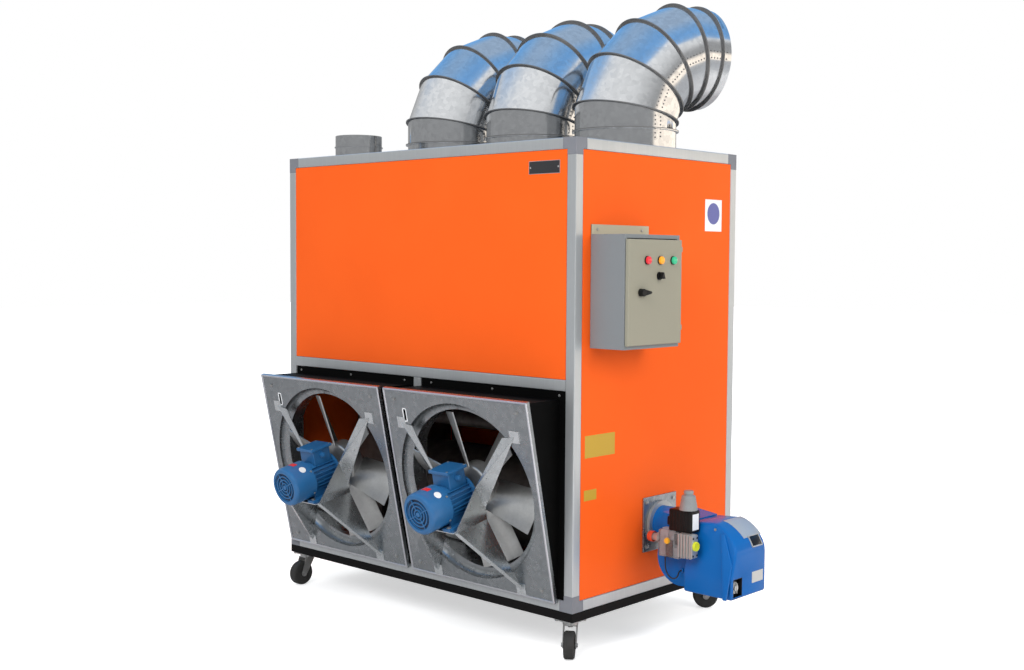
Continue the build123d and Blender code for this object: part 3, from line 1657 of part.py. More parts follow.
# Caps: the inlet's cap over its pipe, and the plug on the valve's free face
cap_start = inlet_end - red_cap_length + red_cap_cover
with BuildPart() as inlet_cap:
    with BuildSketch(Plane(origin=(right + cap_start, front + inlet_y, inlet_z), z_dir=(1, 0, 0))):
        Circle(red_cap_radius)
    extrude(amount=red_cap_length)
    with BuildSketch(Plane(origin=inlet_spot, z_dir=(1, 0, 0))):
        Circle(inlet_radius)
    extrude(amount=red_cap_cover, mode=Mode.SUBTRACT)
valve_middle_y = (valve_front_y + valve_back_y) / 2
valve_cap_spot = (right + valve_end, front + valve_middle_y, inlet_z)
valve_cap = rod(valve_cap_spot, (1, 0, 0), yellow_cap_radius, yellow_cap_length)
save_group("gas_caps", [inlet_cap, valve_cap])

# Lead: from under the pressure switch, down in a loop and into the gland on the fan housing
lead_points = [Vector(right + x, front + y, deck + z) for x, y, z in lead_route]
corner_radii = []
for before, here, after in zip(lead_points, lead_points[1:], lead_points[2:]):
    shorter = min((here - before).length, (after - here).length)
    turn = (here - before).get_angle(after - here)
    corner_radii.append(lead_bend_share * shorter / tan(radians(turn / 2)))
print("lead bend radii", [round(radius, 1) for radius in corner_radii])
with BuildPart() as sensing_lead:
    with BuildLine() as lead_path:
        FilletPolyline(*lead_points, radius=corner_radii)
    with BuildSketch(Plane(origin=lead_points[0], z_dir=lead_points[1] - lead_points[0])):
        Circle(lead_radius)
    sweep(path=lead_path.wire())
sensing_lead.part.label = "sensing_lead"
export_step(sensing_lead.part, "parts/sensing_lead.step")

# Blank plates and labels: front name plate, three on the side panel and the burner's rating plate
plate_width, plate_height = name_plate
plate_x, plate_z = name_plate_centre
panel_face = Plane(origin=(left, front + panel_inset, deck), x_dir=(1, 0, 0), z_dir=(0, -1, 0))
side_face = Plane(origin=(right - panel_inset, front, deck), x_dir=(0, 1, 0), z_dir=(1, 0, 0))
labels = [(panel_face, plate_x, plate_z, plate_width, plate_height, name_plate_thickness)]
labels += [(side_face, *label, label_thickness) for label in side_labels]
labels.append((cover_face, *rating_plate, label_thickness))
label_plates = []
for face, x, y, width, height, thickness in labels:
    with BuildPart() as label_plate:
        with BuildSketch(face):
            with Locations((x, y)):
                Rectangle(width, height)
        extrude(amount=thickness)
    label_plates.append(label_plate)
save_group("label_plates", label_plates)

# Screws and bolts
screws = []
for side, fan in fans.items():
    screw_x = fan_plate_width / 2 - fan_screw_side
    screw_y = fan_plate_height / 2 - fan_screw_end
    for x, y in product((-screw_x, screw_x), (-screw_y, screw_y)):
        spot = fan.from_local_coords(Vector(x, y, 0))
        screws.append(rod(spot, fan.z_dir, screw_head_radius, screw_head_height))
    for x, z in product((-1, 1), (foot_first, foot_first + foot_pitch)):
        spot = fan.from_local_coords(Vector(x * foot_spacing / 2, -foot_height, z))
        with BuildPart() as foot_bolt:
            with BuildSketch(Plane(origin=spot, z_dir=fan.y_dir)):
                Circle(foot_bolt_radius)
            extrude(amount=foot_thickness)
            with BuildSketch(Plane(origin=spot + fan.y_dir * foot_thickness, z_dir=fan.y_dir)):
                RegularPolygon(screw_head_radius, 6)
            extrude(amount=screw_head_height)
        screws.append(foot_bolt)
    bay_left, bay_right = bays[side]
    band_z = (opening_top + deck + cowl_top_height) / 2
    for share in (0, 0.5, 1):
        x = bay_left + flange_screw_inset + share * (bay_right - bay_left - 2 * flange_screw_inset)
        spot = (x, front + cowl_flange_depth, band_z)
        screws.append(rod(spot, (0, -1, 0), small_head_radius, small_head_height))
bolt_half = burner_bolt_spacing / 2
for y, z in product((-bolt_half, bolt_half), (-bolt_half, bolt_half)):
    screws.append(
        rod((plate_face, burner_y + y, burner_z + z), (1, 0, 0), screw_head_radius, screw_head_height)
    )
for y in (lug_screw_inset, enclosure_width - lug_screw_inset):
    spot = wall.origin + Vector(lug_thickness, y, enclosure_height + lug_screw_drop)
    screws.append(rod(spot, (1, 0, 0), small_head_radius, small_head_height))
bolt_low = caster_height - caster_plate_thickness - screw_head_height
for x, y, _ in caster_places.values():
    for sx, sy in product((-1, 1), (-1, 1)):
        half = caster_bolt_spacing / 2
        spot = (x + sx * half, y + sy * half, bolt_low)
        with BuildPart() as caster_bolt:
            with BuildSketch(Plane(origin=spot)):
                RegularPolygon(caster_bolt_radius + small_head_height, 6)
            extrude(amount=screw_head_height)
            with BuildSketch(Plane(origin=spot)):
                Circle(caster_bolt_radius)
            extrude(amount=screw_head_height + caster_plate_thickness)
        screws.append(caster_bolt)
save_group("screws", screws)
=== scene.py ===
import json
import logging
from dataclasses import dataclass, field, replace
from enum import Enum
from functools import lru_cache
from math import atan2, cos, degrees, pi, radians, sin, tan
from typing import Callable, ClassVar, Iterable, Optional, Sequence

import bmesh
import bpy
from mathutils import Matrix, Vector

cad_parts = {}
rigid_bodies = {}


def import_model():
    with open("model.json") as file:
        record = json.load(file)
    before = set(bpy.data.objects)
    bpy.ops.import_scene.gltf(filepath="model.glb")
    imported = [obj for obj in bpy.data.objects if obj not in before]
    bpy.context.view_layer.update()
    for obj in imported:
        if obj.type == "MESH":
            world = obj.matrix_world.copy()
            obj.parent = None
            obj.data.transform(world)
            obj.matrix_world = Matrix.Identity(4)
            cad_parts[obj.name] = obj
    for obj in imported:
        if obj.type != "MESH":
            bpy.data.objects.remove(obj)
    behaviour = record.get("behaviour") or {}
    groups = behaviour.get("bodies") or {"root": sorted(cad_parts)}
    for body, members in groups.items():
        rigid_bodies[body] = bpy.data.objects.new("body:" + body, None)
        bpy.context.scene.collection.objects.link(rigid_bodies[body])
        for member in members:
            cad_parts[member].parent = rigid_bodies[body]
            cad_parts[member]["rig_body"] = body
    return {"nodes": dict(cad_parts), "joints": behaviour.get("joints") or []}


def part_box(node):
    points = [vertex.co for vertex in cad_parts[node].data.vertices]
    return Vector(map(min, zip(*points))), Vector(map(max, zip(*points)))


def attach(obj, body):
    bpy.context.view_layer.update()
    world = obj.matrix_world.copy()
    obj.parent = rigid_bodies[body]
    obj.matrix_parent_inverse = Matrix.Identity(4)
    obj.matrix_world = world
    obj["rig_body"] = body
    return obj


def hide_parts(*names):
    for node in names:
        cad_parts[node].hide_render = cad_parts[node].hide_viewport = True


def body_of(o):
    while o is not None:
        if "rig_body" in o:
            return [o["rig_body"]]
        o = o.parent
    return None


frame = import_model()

log = logging.getLogger("furnace")
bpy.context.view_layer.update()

# The furnace's own sizes are in millimetres, angles in degrees. The CAD, the studio and every
# matrix are in metres.
MM = 0.001
HEAD_FLANGE = 13
CASTERS = ("front_left", "front_right", "rear_left", "rear_right")
WHITE = (1.0, 1.0, 1.0, 1.0)

Point = Sequence[float]
Pair = tuple[float, float]
Profile = Sequence[Pair]
# A box row: low corner, high corner, width of its rounded edges and steps of that round.
Box = tuple
Boxes = Sequence[Box]
# A rod row: start, end, radius, width of its rounded rims and number of sides.
Rod = tuple
Socket = bpy.types.NodeSocket
# A pattern's shade and height.
Pattern = tuple[Socket, Socket]


class Grain(Enum):
    """The surface structure that a finish carries."""

    SPANGLE = "spangle"
    BRUSHED = "brushed"
    PEEL = "peel"
    CAST = "cast"


class NodeBoard:
    """A node tree with short ways to place nodes and wire them."""

    def __init__(self, tree: bpy.types.NodeTree) -> None:
        """Args: tree: the tree that is filled."""
        self.tree = tree

    def node(self, kind: str, **settings: object) -> bpy.types.Node:
        """Place a node.

        Args:
            kind: the node's type name.
            settings: attributes to set on it.

        Returns:
            The new node.
        """
        made = self.tree.nodes.new(kind)
        for key, value in settings.items():
            setattr(made, key, value)
        return made

    def feed(self, value: object, socket: Socket) -> None:
        """Set a socket's value, or wire another socket into it."""
        if isinstance(value, bpy.types.NodeSocket):
            self.tree.links.new(value, socket)
        elif value is not None:
            socket.default_value = value

    def math(self, operation: str, first: object, second: object = None) -> Socket:
        """A math node.

        Args:
            operation: the name of the operation.
            first: the first value or socket.
            second: the second one, if it has one.

        Returns:
            Its result.
        """
        made = self.node("ShaderNodeMath", operation=operation)
        self.feed(first, made.inputs[0])
        self.feed(second, made.inputs[1])
        return made.outputs[0]

    def span(self, value: object, low: float, high: float, start: float, end: float) -> Socket:
        """Map a value from low..high to start..end, held at the ends."""
        made = self.node("ShaderNodeMapRange")
        for socket, item in zip(made.inputs, (value, low, high, start, end)):
            self.feed(item, socket)
        return made.outputs[0]

    def mix(self, factor: object, first: object, second: object) -> Socket:
        """Mix two colours by a factor."""
        made = self.node("ShaderNodeMix", data_type="RGBA")
        self.feed(factor, made.inputs[0])
        self.feed(first, made.inputs[6])
        self.feed(second, made.inputs[7])
        return made.outputs[2]

    def blend(self, *parts: tuple[Socket, float]) -> Socket:
        """Add sockets up, each times its own share."""
        total = None
        for socket, share in parts:
            part = self.math("MULTIPLY", socket, share)
            total = part if total is None else self.math("ADD", total, part)
        return total

    def noise(self, vector: Socket, scale: object, detail: float = 2.0, rough: float = 0.5) -> Socket:
        """A noise field.

        Args:
            vector: where it is read.
            scale: its scale, in features a metre.
            detail: its octaves.
            rough: how strong the finer octaves are.

        Returns:
            The noise's value.
        """
        made = self.node("ShaderNodeTexNoise")
        self.feed(vector, made.inputs["Vector"])
        self.feed(scale, made.inputs["Scale"])
        made.inputs["Detail"].default_value = detail
        made.inputs["Roughness"].default_value = rough
        return made.outputs["Fac"]

    def mapped(self, vector: Socket, scale: Point) -> Socket:
        """Stretch a vector for a pattern."""
        made = self.node("ShaderNodeMapping")
        self.feed(vector, made.inputs["Vector"])
        made.inputs["Scale"].default_value = scale
        return made.outputs[0]


class Effects:
    """Shader node groups that several finishes share."""

    VECTOR = ("Vector", "NodeSocketVector")
    SCALE = ("Scale", "NodeSocketFloat")
    TOP = ("Top", "NodeSocketFloat")

    def __init__(self) -> None:
        """Build each group once."""
        self.trees = {
            Grain.SPANGLE: self._pattern("zinc_spangle", self._spangle),
            Grain.BRUSHED: self._pattern("brushed_lines", self._brushed),
            Grain.PEEL: self._pattern("powder_peel", self._peel),
            Grain.CAST: self._pattern("cast_skin", self._cast),
        }
        self.dust = self._dust()

    @staticmethod
    def _group(name: str, inputs: Sequence[tuple[str, str]], outputs: Sequence[str]) -> tuple:
        """Start a group.

        Args:
            name: the group's name.
            inputs: name and socket type of each input.
            outputs: names of its outputs, all numbers.

        Returns:
            The tree, its board, its input node and its output node.
        """
        tree = bpy.data.node_groups.new(name, "ShaderNodeTree")
        for label, kind in inputs:
            tree.interface.new_socket(label, in_out="INPUT", socket_type=kind)
        for label in outputs:
            tree.interface.new_socket(label, in_out="OUTPUT", socket_type="NodeSocketFloat")
        board = NodeBoard(tree)
        return tree, board, board.node("NodeGroupInput"), board.node("NodeGroupOutput")

    def _pattern(self, name: str, fill: Callable[[NodeBoard, Socket, Socket], Pattern]) -> bpy.types.NodeTree:
        """Build the group of a surface structure.

        Args:
            name: the group's name.
            fill: places its nodes after a vector and a scale, and returns its shade and height.

        Returns:
            The group.
        """
        tree, board, given, out = self._group(name, (self.VECTOR, self.SCALE), ("Shade", "Height"))
        shade, height = fill(board, given.outputs["Vector"], given.outputs["Scale"])
        board.feed(shade, out.inputs["Shade"])
        board.feed(height, out.inputs["Height"])
        return tree

    @staticmethod
    def _spangle(board: NodeBoard, vector: Socket, scale: Socket) -> Pattern:
        """Zinc crystals: each cell has its own shade, over a slow cloud."""
        cells = board.node("ShaderNodeTexVoronoi")
        board.feed(vector, cells.inputs["Vector"])
        board.feed(scale, cells.inputs["Scale"])
        split = board.node("ShaderNodeSeparateColor")
        board.feed(cells.outputs["Color"], split.inputs[0])
        cloud = board.noise(vector, scale=7.0, detail=4.0, rough=0.6)
        fine = board.noise(vector, scale=60.0, detail=3.0, rough=0.6)
        shade = board.blend((split.outputs[0], 0.45), (cloud, 0.35), (fine, 0.2))
        return shade, board.blend((cloud, 1.0), (fine, 0.3))

    @staticmethod
    def _brushed(board: NodeBoard, vector: Socket, scale: Socket) -> Pattern:
        """Fine parallel lines along the direction that the vector is squeezed in."""
        lines = board.noise(vector, scale, detail=3.0, rough=0.7)
        slow = board.noise(vector, scale=9.0)
        return board.blend((lines, 0.6), (slow, 0.4)), lines

    @staticmethod
    def _peel(board: NodeBoard, vector: Socket, scale: Socket) -> Pattern:
        """Powder coat: a soft orange-peel skin and slow tone changes."""
        skin = board.noise(vector, scale, detail=1.0)
        slow = board.noise(vector, scale=3.0)
        return board.math("ADD", board.math("MULTIPLY", slow, 0.8), 0.1), skin

    @staticmethod
    def _cast(board: NodeBoard, vector: Socket, scale: Socket) -> Pattern:
        """Cast or moulded skin: small pits and a mottled tone."""
        skin = board.noise(vector, scale, detail=5.0, rough=0.65)
        mottle = board.noise(vector, scale=25.0, detail=3.0)
        return board.blend((skin, 0.5), (mottle, 0.5)), skin

    def _dust(self) -> bpy.types.NodeTree:
        """Dust and handling marks: a broken mask that grows towards the floor."""
        tree, board, given, out = self._group("workshop_dust", (self.VECTOR, self.TOP), ("Mask",))
        vector = given.outputs["Vector"]
        split = board.node("ShaderNodeSeparateXYZ")
        board.feed(vector, split.inputs[0])
        share = board.math("DIVIDE", split.outputs[2], given.outputs["Top"])
        low = board.span(share, 0.0, 1.0, 1.0, 0.0)
        broken = board.noise(vector, scale=14.0, detail=6.0, rough=0.65)
        mask = board.math("MULTIPLY", board.math("POWER", low, 2.0), broken)
        streaks = board.span(board.noise(vector, scale=4.0, detail=8.0, rough=0.7), 0.55, 0.8, 0.0, 0.5)
        board.feed(board.math("MAXIMUM", mask, streaks), out.inputs["Mask"])
        return tree


@lru_cache(maxsize=1)
def effects() -> Effects:
    """The shared node groups, built on the first call."""
    return Effects()


@dataclass(frozen=True)
class Finish:
    """One surface finish: base colour, its variation, and the structure on it."""

    TONE_BAND: ClassVar[Pair] = (0.25, 0.75)
    ROUGH_BAND: ClassVar[Pair] = (0.2, 0.8)
    DUST_COLOUR: ClassVar[tuple[float, ...]] = (0.25, 0.23, 0.2, 1.0)
    DUST_TOP: ClassVar[float] = 1.8
    DUST_ROUGHNESS: ClassVar[float] = 0.4
    COAT_ROUGHNESS: ClassVar[float] = 0.12
    CLEAR_INDEX: ClassVar[float] = 1.49

    name: str
    colour: tuple[float, float, float]
    other: tuple[float, float, float]
    metallic: float = 0.0
    rough: Pair = (0.35, 0.5)
    grain: Grain = Grain.PEEL
    scale: float = 400.0
    stretch: tuple[float, float, float] = (1.0, 1.0, 1.0)
    bump: float = 0.1
    bump_depth: float = 0.0005
    coat: float = 0.0
    dust: float = 0.0
    shine: float = 0.5
    clear: float = 0.0
    glow: float = 0.0

    def material(self) -> bpy.types.Material:
        """Build the finish as a material, or find it if it is already built.

        Returns:
            The material.
        """
        title = "look_" + self.name
        found = bpy.data.materials.get(title)
        if found:
            return found
        made = bpy.data.materials.new(title)
        made.use_nodes = True
        board = NodeBoard(made.node_tree)
        shader = made.node_tree.nodes["Principled BSDF"]
        place = board.node("ShaderNodeTexCoord").outputs["Object"]
        pattern = board.node("ShaderNodeGroup", node_tree=effects().trees[self.grain])
        board.feed(board.mapped(place, self.stretch), pattern.inputs["Vector"])
        board.feed(self.scale, pattern.inputs["Scale"])
        shade = pattern.outputs["Shade"]
        tone = board.span(shade, *self.TONE_BAND, 0.0, 1.0)
        colour = board.mix(tone, (*self.colour, 1.0), (*self.other, 1.0))
        roughness = board.span(shade, *self.ROUGH_BAND, *self.rough)
        if self.dust:
            dirt = board.node("ShaderNodeGroup", node_tree=effects().dust)
            board.feed(place, dirt.inputs["Vector"])
            board.feed(self.DUST_TOP, dirt.inputs["Top"])
            mask = board.math("MULTIPLY", dirt.outputs["Mask"], self.dust)
            colour = board.mix(mask, colour, self.DUST_COLOUR)
            roughness = board.math("ADD", roughness, board.math("MULTIPLY", mask, self.DUST_ROUGHNESS))
        relief = board.node("ShaderNodeBump")
        board.feed(self.bump, relief.inputs["Strength"])
        board.feed(self.bump_depth, relief.inputs["Distance"])
        board.feed(pattern.outputs["Height"], relief.inputs["Height"])
        settings = {
            "Base Color": colour,
            "Roughness": roughness,
            "Normal": relief.outputs[0],
            "Metallic": self.metallic,
            "Specular IOR Level": self.shine,
            "Coat Weight": self.coat,
            "Coat Roughness": self.COAT_ROUGHNESS,
        }
        if self.clear:
            settings |= {"Transmission Weight": self.clear, "IOR": self.CLEAR_INDEX}
        if self.glow:
            settings |= {"Emission Color": colour, "Emission Strength": self.glow}
        for label, value in settings.items():
            board.feed(value, shader.inputs[label])
        return made


class Finishes:
    """Every finish of the furnace, under the name of what it covers."""

    panel = Finish("panel_orange", (0.86, 0.116, 0.014), (0.82, 0.106, 0.012), rough=(0.3, 0.4),
                   scale=900.0, bump=0.05, bump_depth=0.0002, shine=0.06)
    profile = Finish("profile_aluminium", (0.62, 0.64, 0.645), (0.54, 0.56, 0.565), 0.75, (0.34, 0.46),
                     Grain.BRUSHED, 160.0, (1.0, 1.0, 0.04), 0.1, 0.0002, dust=0.12)
    corner = Finish("corner_grey", (0.20, 0.205, 0.225), (0.17, 0.175, 0.195), rough=(0.5, 0.62),
                    grain=Grain.CAST, scale=500.0, bump=0.12, shine=0.3)
    base = Finish("base_black", (0.004, 0.004, 0.004), (0.009, 0.008, 0.008), rough=(0.45, 0.6), scale=300.0,
                  bump=0.1, shine=0.08)
    cowl = Finish("cowl_black", (0.002, 0.002, 0.002), (0.004, 0.004, 0.004), rough=(0.4, 0.55), scale=350.0,
                  bump=0.08, shine=0.03)
    sheet = Finish("sheet_galvanised", (0.36, 0.375, 0.385), (0.30, 0.315, 0.325), 0.92, (0.24, 0.34),
                   Grain.SPANGLE, 60.0, bump=0.06, bump_depth=0.0005)
    # Brackets: a lighter copy of the galvanised sheet, painted light for the light that their faces catch.
    bright = Finish("bracket_galvanised_painted_light", (0.74, 0.76, 0.765), (0.66, 0.68, 0.685), 0.94, (0.2, 0.3),
                    Grain.SPANGLE, 60.0, bump=0.05, bump_depth=0.0004)
    # Rolled plate border: a lighter metal than the plate's sheet, a painted highlight along its edges.
    trim = Finish("plate_edge_painted_highlight", (0.66, 0.66, 0.69), (0.58, 0.58, 0.61), 0.9, (0.26, 0.34),
                  Grain.CAST, 60.0, bump=0.02, bump_depth=0.0002)
    duct = Finish("duct_galvanised", (0.68, 0.69, 0.70), (0.58, 0.59, 0.60), 0.96, (0.10, 0.18),
                  Grain.SPANGLE, 60.0, bump=0.1, bump_depth=0.0009)
    # Duct joint lips and rivet heads: real metal parts, painted dark as painted shade for the shadow under
    # each lip and round each rivet.
    seam = Finish("seam_painted_shade", (0.24, 0.235, 0.23), (0.17, 0.165, 0.16), 0.6, (0.45, 0.6), Grain.CAST, 200.0,
                  bump=0.2)
    zinc = Finish("zinc_plated", (0.5, 0.5, 0.49), (0.36, 0.36, 0.35), 0.9, (0.25, 0.42), Grain.CAST, 150.0,
                  bump=0.08)
    tyre = Finish("tyre_black", (0.012, 0.012, 0.012), (0.03, 0.03, 0.03), rough=(0.55, 0.75),
                  grain=Grain.CAST, scale=400.0, bump=0.25, dust=0.15, shine=0.25)
    motor = Finish("motor_blue", (0.020, 0.130, 0.32), (0.013, 0.095, 0.24), rough=(0.26, 0.38),
                   grain=Grain.CAST, scale=260.0, bump=0.12, coat=0.15)
    # Finish of the dark disc behind the motor's grille: painted shade for the cover's shaded inside.
    grille = Finish("grille_painted_shade", (0.02, 0.04, 0.09), (0.015, 0.03, 0.07), rough=(0.5, 0.6))
    impeller = Finish("impeller_aluminium", (0.56, 0.56, 0.55), (0.42, 0.42, 0.41), 0.85, (0.3, 0.45),
                      Grain.CAST, 90.0, bump=0.12)
    rotor = Finish("rotor_steel", (0.35, 0.35, 0.36), (0.26, 0.26, 0.27), 0.95, (0.3, 0.4), Grain.BRUSHED,
                   300.0, bump=0.1)
    heat = Finish("heat_steel", (0.25, 0.22, 0.2), (0.12, 0.1, 0.09), 0.7, (0.45, 0.65), Grain.CAST, 30.0,
                  bump=0.2)
    enclosure = Finish("enclosure_grey", (0.205, 0.22, 0.23), (0.187, 0.203, 0.213), rough=(0.5, 0.58),
                       scale=700.0, bump=0.3, bump_depth=0.0004, shine=0.4)
    door = Finish("door_grey", (0.29, 0.27, 0.205), (0.26, 0.25, 0.195), rough=(0.5, 0.58), scale=700.0,
                  bump=0.35, bump_depth=0.0004, shine=0.4)
    lug = Finish("lug_beige", (0.46, 0.405, 0.29), (0.40, 0.36, 0.265), rough=(0.5, 0.58), scale=700.0,
                 bump=0.3, bump_depth=0.0004, shine=0.4)
    rubber = Finish("gasket_rubber", (0.014, 0.014, 0.014), (0.025, 0.025, 0.025), rough=(0.55, 0.7),
                    grain=Grain.CAST, scale=300.0, bump=0.1)
    black = Finish("black_plastic", (0.006, 0.006, 0.006), (0.01, 0.01, 0.01), rough=(0.3, 0.42),
                   grain=Grain.CAST, scale=500.0, bump=0.08, shine=0.2)
    gear = Finish("gear_plastic", (0.42, 0.42, 0.4), (0.34, 0.34, 0.33), rough=(0.4, 0.5), grain=Grain.CAST,
                  scale=400.0, bump=0.08)
    burner = Finish("burner_blue", (0.004, 0.118, 0.40), (0.003, 0.095, 0.34), rough=(0.2, 0.3), scale=500.0,
                    bump=0.08, bump_depth=0.0003, coat=0.06, shine=0.2)
    cast = Finish("cast_aluminium", (0.56, 0.56, 0.54), (0.42, 0.42, 0.41), 0.7, (0.35, 0.5), Grain.CAST,
                  180.0, bump=0.18)
    regulator = Finish("regulator_grey", (0.30, 0.315, 0.32), (0.24, 0.25, 0.255), 0.35, (0.4, 0.5),
                       Grain.CAST, 200.0, bump=0.12)
    burner_motor = Finish("burner_motor_black", (0.02, 0.02, 0.02), (0.035, 0.035, 0.035), rough=(0.35, 0.5),
                          grain=Grain.CAST, scale=200.0, bump=0.15)
    red_cap = Finish("cap_red", (0.62, 0.07, 0.03), (0.5, 0.05, 0.02), rough=(0.25, 0.35), bump=0.08,
                     coat=0.3)
    yellow_cap = Finish("cap_yellow", (0.58, 0.62, 0.02), (0.5, 0.55, 0.02), rough=(0.35, 0.45), bump=0.08)
    knob = Finish("knob_amber", (0.8, 0.4, 0.02), (0.7, 0.33, 0.02), rough=(0.3, 0.4), bump=0.05)
    switch = Finish("switch_grey", (0.34, 0.36, 0.38), (0.28, 0.3, 0.32), rough=(0.3, 0.42), grain=Grain.CAST,
                    scale=300.0, bump=0.08)
    clear = Finish("switch_cover_clear", (0.92, 0.94, 0.95), (0.88, 0.9, 0.92), rough=(0.08, 0.14), bump=0.03,
                   clear=0.92)
    lamp_red = Finish("lamp_red", (0.78, 0.03, 0.045), (0.62, 0.02, 0.03), rough=(0.15, 0.22), bump=0.02,
                      coat=0.5, glow=0.12)
    lamp_amber = replace(lamp_red, name="lamp_amber", colour=(0.95, 0.36, 0.01), other=(0.85, 0.3, 0.01))
    lamp_green = replace(lamp_red, name="lamp_green", colour=(0.03, 0.48, 0.24), other=(0.02, 0.38, 0.18))
    glass = Finish("window_dark", (0.004, 0.006, 0.012), (0.006, 0.009, 0.016), rough=(0.1, 0.18), bump=0.02,
                   shine=0.3)
    silver = Finish("trim_silver", (0.58, 0.58, 0.56), (0.48, 0.48, 0.47), 0.6, (0.3, 0.4), Grain.BRUSHED,
                    250.0, bump=0.06)
    white = Finish("label_white", (0.78, 0.79, 0.8), (0.72, 0.73, 0.74), rough=(0.3, 0.4), bump=0.03)
    blue_spot = Finish("label_blue", (0.10, 0.11, 0.32), (0.08, 0.09, 0.28), rough=(0.3, 0.4), bump=0.03)
    yellow = Finish("label_yellow", (0.50, 0.31, 0.02), (0.45, 0.27, 0.016), rough=(0.32, 0.42), bump=0.03)
    plate_black = Finish("plate_black", (0.018, 0.018, 0.02), (0.03, 0.03, 0.032), rough=(0.28, 0.36),
                         bump=0.05)
    red_label = Finish("label_red", (0.68, 0.015, 0.02), (0.6, 0.012, 0.018), rough=(0.3, 0.4), bump=0.03)


def smooth_piece(name: str, mesh: bmesh.types.BMesh, look: Finish, angle: float) -> bpy.types.Object:
    """Turn a mesh into a smooth object of one finish.

    Args:
        name: the object's name.
        mesh: its mesh, which is used up.
        look: its finish.
        angle: edges sharper than this stay sharp, in degrees.

    Returns:
        The object.
    """
    for face in mesh.faces:
        face.smooth = True
    data = bpy.data.meshes.new(name)
    mesh.to_mesh(data)
    mesh.free()
    data.set_sharp_from_angle(angle=radians(angle))
    data.materials.append(look.material())
    made = bpy.data.objects.new(name, data)
    bpy.context.scene.collection.objects.link(made)
    return made


@dataclass
class Shape:
    """A mesh being made, in millimetres of its own frame, with the operators that its pieces need."""

    MERGE: ClassVar[float] = 1e-6

    place: Matrix = field(default_factory=lambda: Matrix.Identity(4))
    mesh: bmesh.types.BMesh = field(default_factory=bmesh.new)

    def at(self, point: Point) -> Vector:
        """Where a point of the frame is in the world, in metres."""
        return self.place @ (Vector(point) * MM)

    def round_edges(self, verts: Iterable[bmesh.types.BMVert], width: float, steps: int,
                    limit: float = 35.0) -> None:
        """Bevel the sharp edges between some vertices.

        Args:
            verts: the vertices.
            width: how far the edges are rounded.
            steps: segments of that round.
            limit: edges sharper than this are rounded, in degrees.
        """
        if not width:
            return
        kept = set(verts)
        edges = [
            e for e in self.mesh.edges
            if e.verts[0] in kept and e.verts[1] in kept and e.calc_face_angle(0.0) > radians(limit)
        ]
        bmesh.ops.bevel(self.mesh, geom=edges, offset=width * MM, offset_type="OFFSET", segments=steps,
                        profile=0.5, affect="EDGES", clamp_overlap=True, material=-1)

    def block(self, low: Point, high: Point, width: float = 0.0, steps: int = 2) -> "Shape":
        """Add a box between two corners, its edges rounded by width."""
        a, b = Vector(low) * MM, Vector(high) * MM
        matrix = self.place @ Matrix.Translation((a + b) / 2) @ Matrix.Diagonal((*(b - a), 1.0))
        made = bmesh.ops.create_cube(self.mesh, size=1.0, matrix=matrix)["verts"]
        self.round_edges(made, width, steps)
        return self

    def blocks(self, *rows: Box) -> "Shape":
        """Add several boxes, each given as block takes it."""
        for row in rows:
            self.block(*row)
        return self

    def rim(self, low: Point, high: Point, border: float, through: int, width: float,
            steps: int = 2) -> "Shape":
        """Add four bars round the sides of a box that is open along one axis.

        Args:
            low: the box's low corner.
            high: its high corner.
            border: how thick the bars are.
            through: the open axis, 0 to 2.
            width: how far their edges are rounded.
            steps: segments of that round.

        Returns:
            The shape.
        """
        for axis in (a for a in range(3) if a != through):
            near, far = list(high), list(low)
            near[axis] = low[axis] + border
            far[axis] = high[axis] - border
            self.blocks((low, near, width, steps), (far, high, width, steps))
        return self

    def rod(self, start: Point, end: Point, radius: float, width: float = 0.0, count: int = 32) -> "Shape":
        """Add a round bar from one point to another.

        Args:
            start: the middle of its first end.
            end: the middle of its other end.
            radius: its radius.
            width: how far its rims are rounded.
            count: its sides.

        Returns:
            The shape.
        """
        a, b = Vector(start) * MM, Vector(end) * MM
        turn = (b - a).to_track_quat("Z", "Y").to_matrix().to_4x4()
        matrix = self.place @ Matrix.Translation((a + b) / 2) @ turn
        made = bmesh.ops.create_cone(self.mesh, cap_ends=True, segments=count, radius1=radius * MM,
                                     radius2=radius * MM, depth=(b - a).length, matrix=matrix)["verts"]
        self.round_edges(made, width, 2)
        return self

    def rods(self, *rows: Rod) -> "Shape":
        """Add several round bars, each given as rod takes it."""
        for row in rows:
            self.rod(*row)
        return self

    def turned(self, profile: Sequence[Pair], centre: Point = (0, 0, 0), axis: Point = (0, 0, 1),
               count: int = 48) -> "Shape":
        """Add a solid of revolution.

        Args:
            profile: (radius, height) points along the axis, from its foot to its top.
            centre: a point on the axis, at height 0.
            axis: the axis' direction.
            count: its steps round.

        Returns:
            The shape.
        """
        turn = Vector(axis).to_track_quat("Z", "Y").to_matrix().to_4x4()
        matrix = self.place @ Matrix.Translation(Vector(centre) * MM) @ turn
        verts = [self.mesh.verts.new(matrix @ (Vector((r, 0.0, h)) * MM)) for r, h in profile]
        edges = [self.mesh.edges.new(pair) for pair in zip(verts, verts[1:])]
        bmesh.ops.spin(self.mesh, geom=verts + edges, cent=matrix.translation,
                       axis=(matrix.to_3x3() @ Vector((0, 0, 1))), angle=2 * pi, steps=count,
                       use_merge=True, use_duplicate=False, dvec=(0, 0, 0))
        return self

    def prism(self, outline: Sequence[Point], rise: Point, width: float = 0.0, steps: int = 2) -> "Shape":
        """Add a flat outline pushed along a vector.

        Args:
            outline: its corners.
            rise: the way and distance that it is pushed.
            width: how far its edges are rounded.
            steps: segments of that round.

        Returns:
            The shape.
        """
        verts = [self.mesh.verts.new(self.at(p)) for p in outline]
        face = self.mesh.faces.new(verts)
        made = bmesh.ops.extrude_face_region(self.mesh, geom=[face])["geom"]
        moved = [g for g in made if isinstance(g, bmesh.types.BMVert)]
        bmesh.ops.translate(self.mesh, verts=moved, vec=self.place.to_3x3() @ (Vector(rise) * MM))
        self.round_edges(verts + moved, width, steps)
        return self

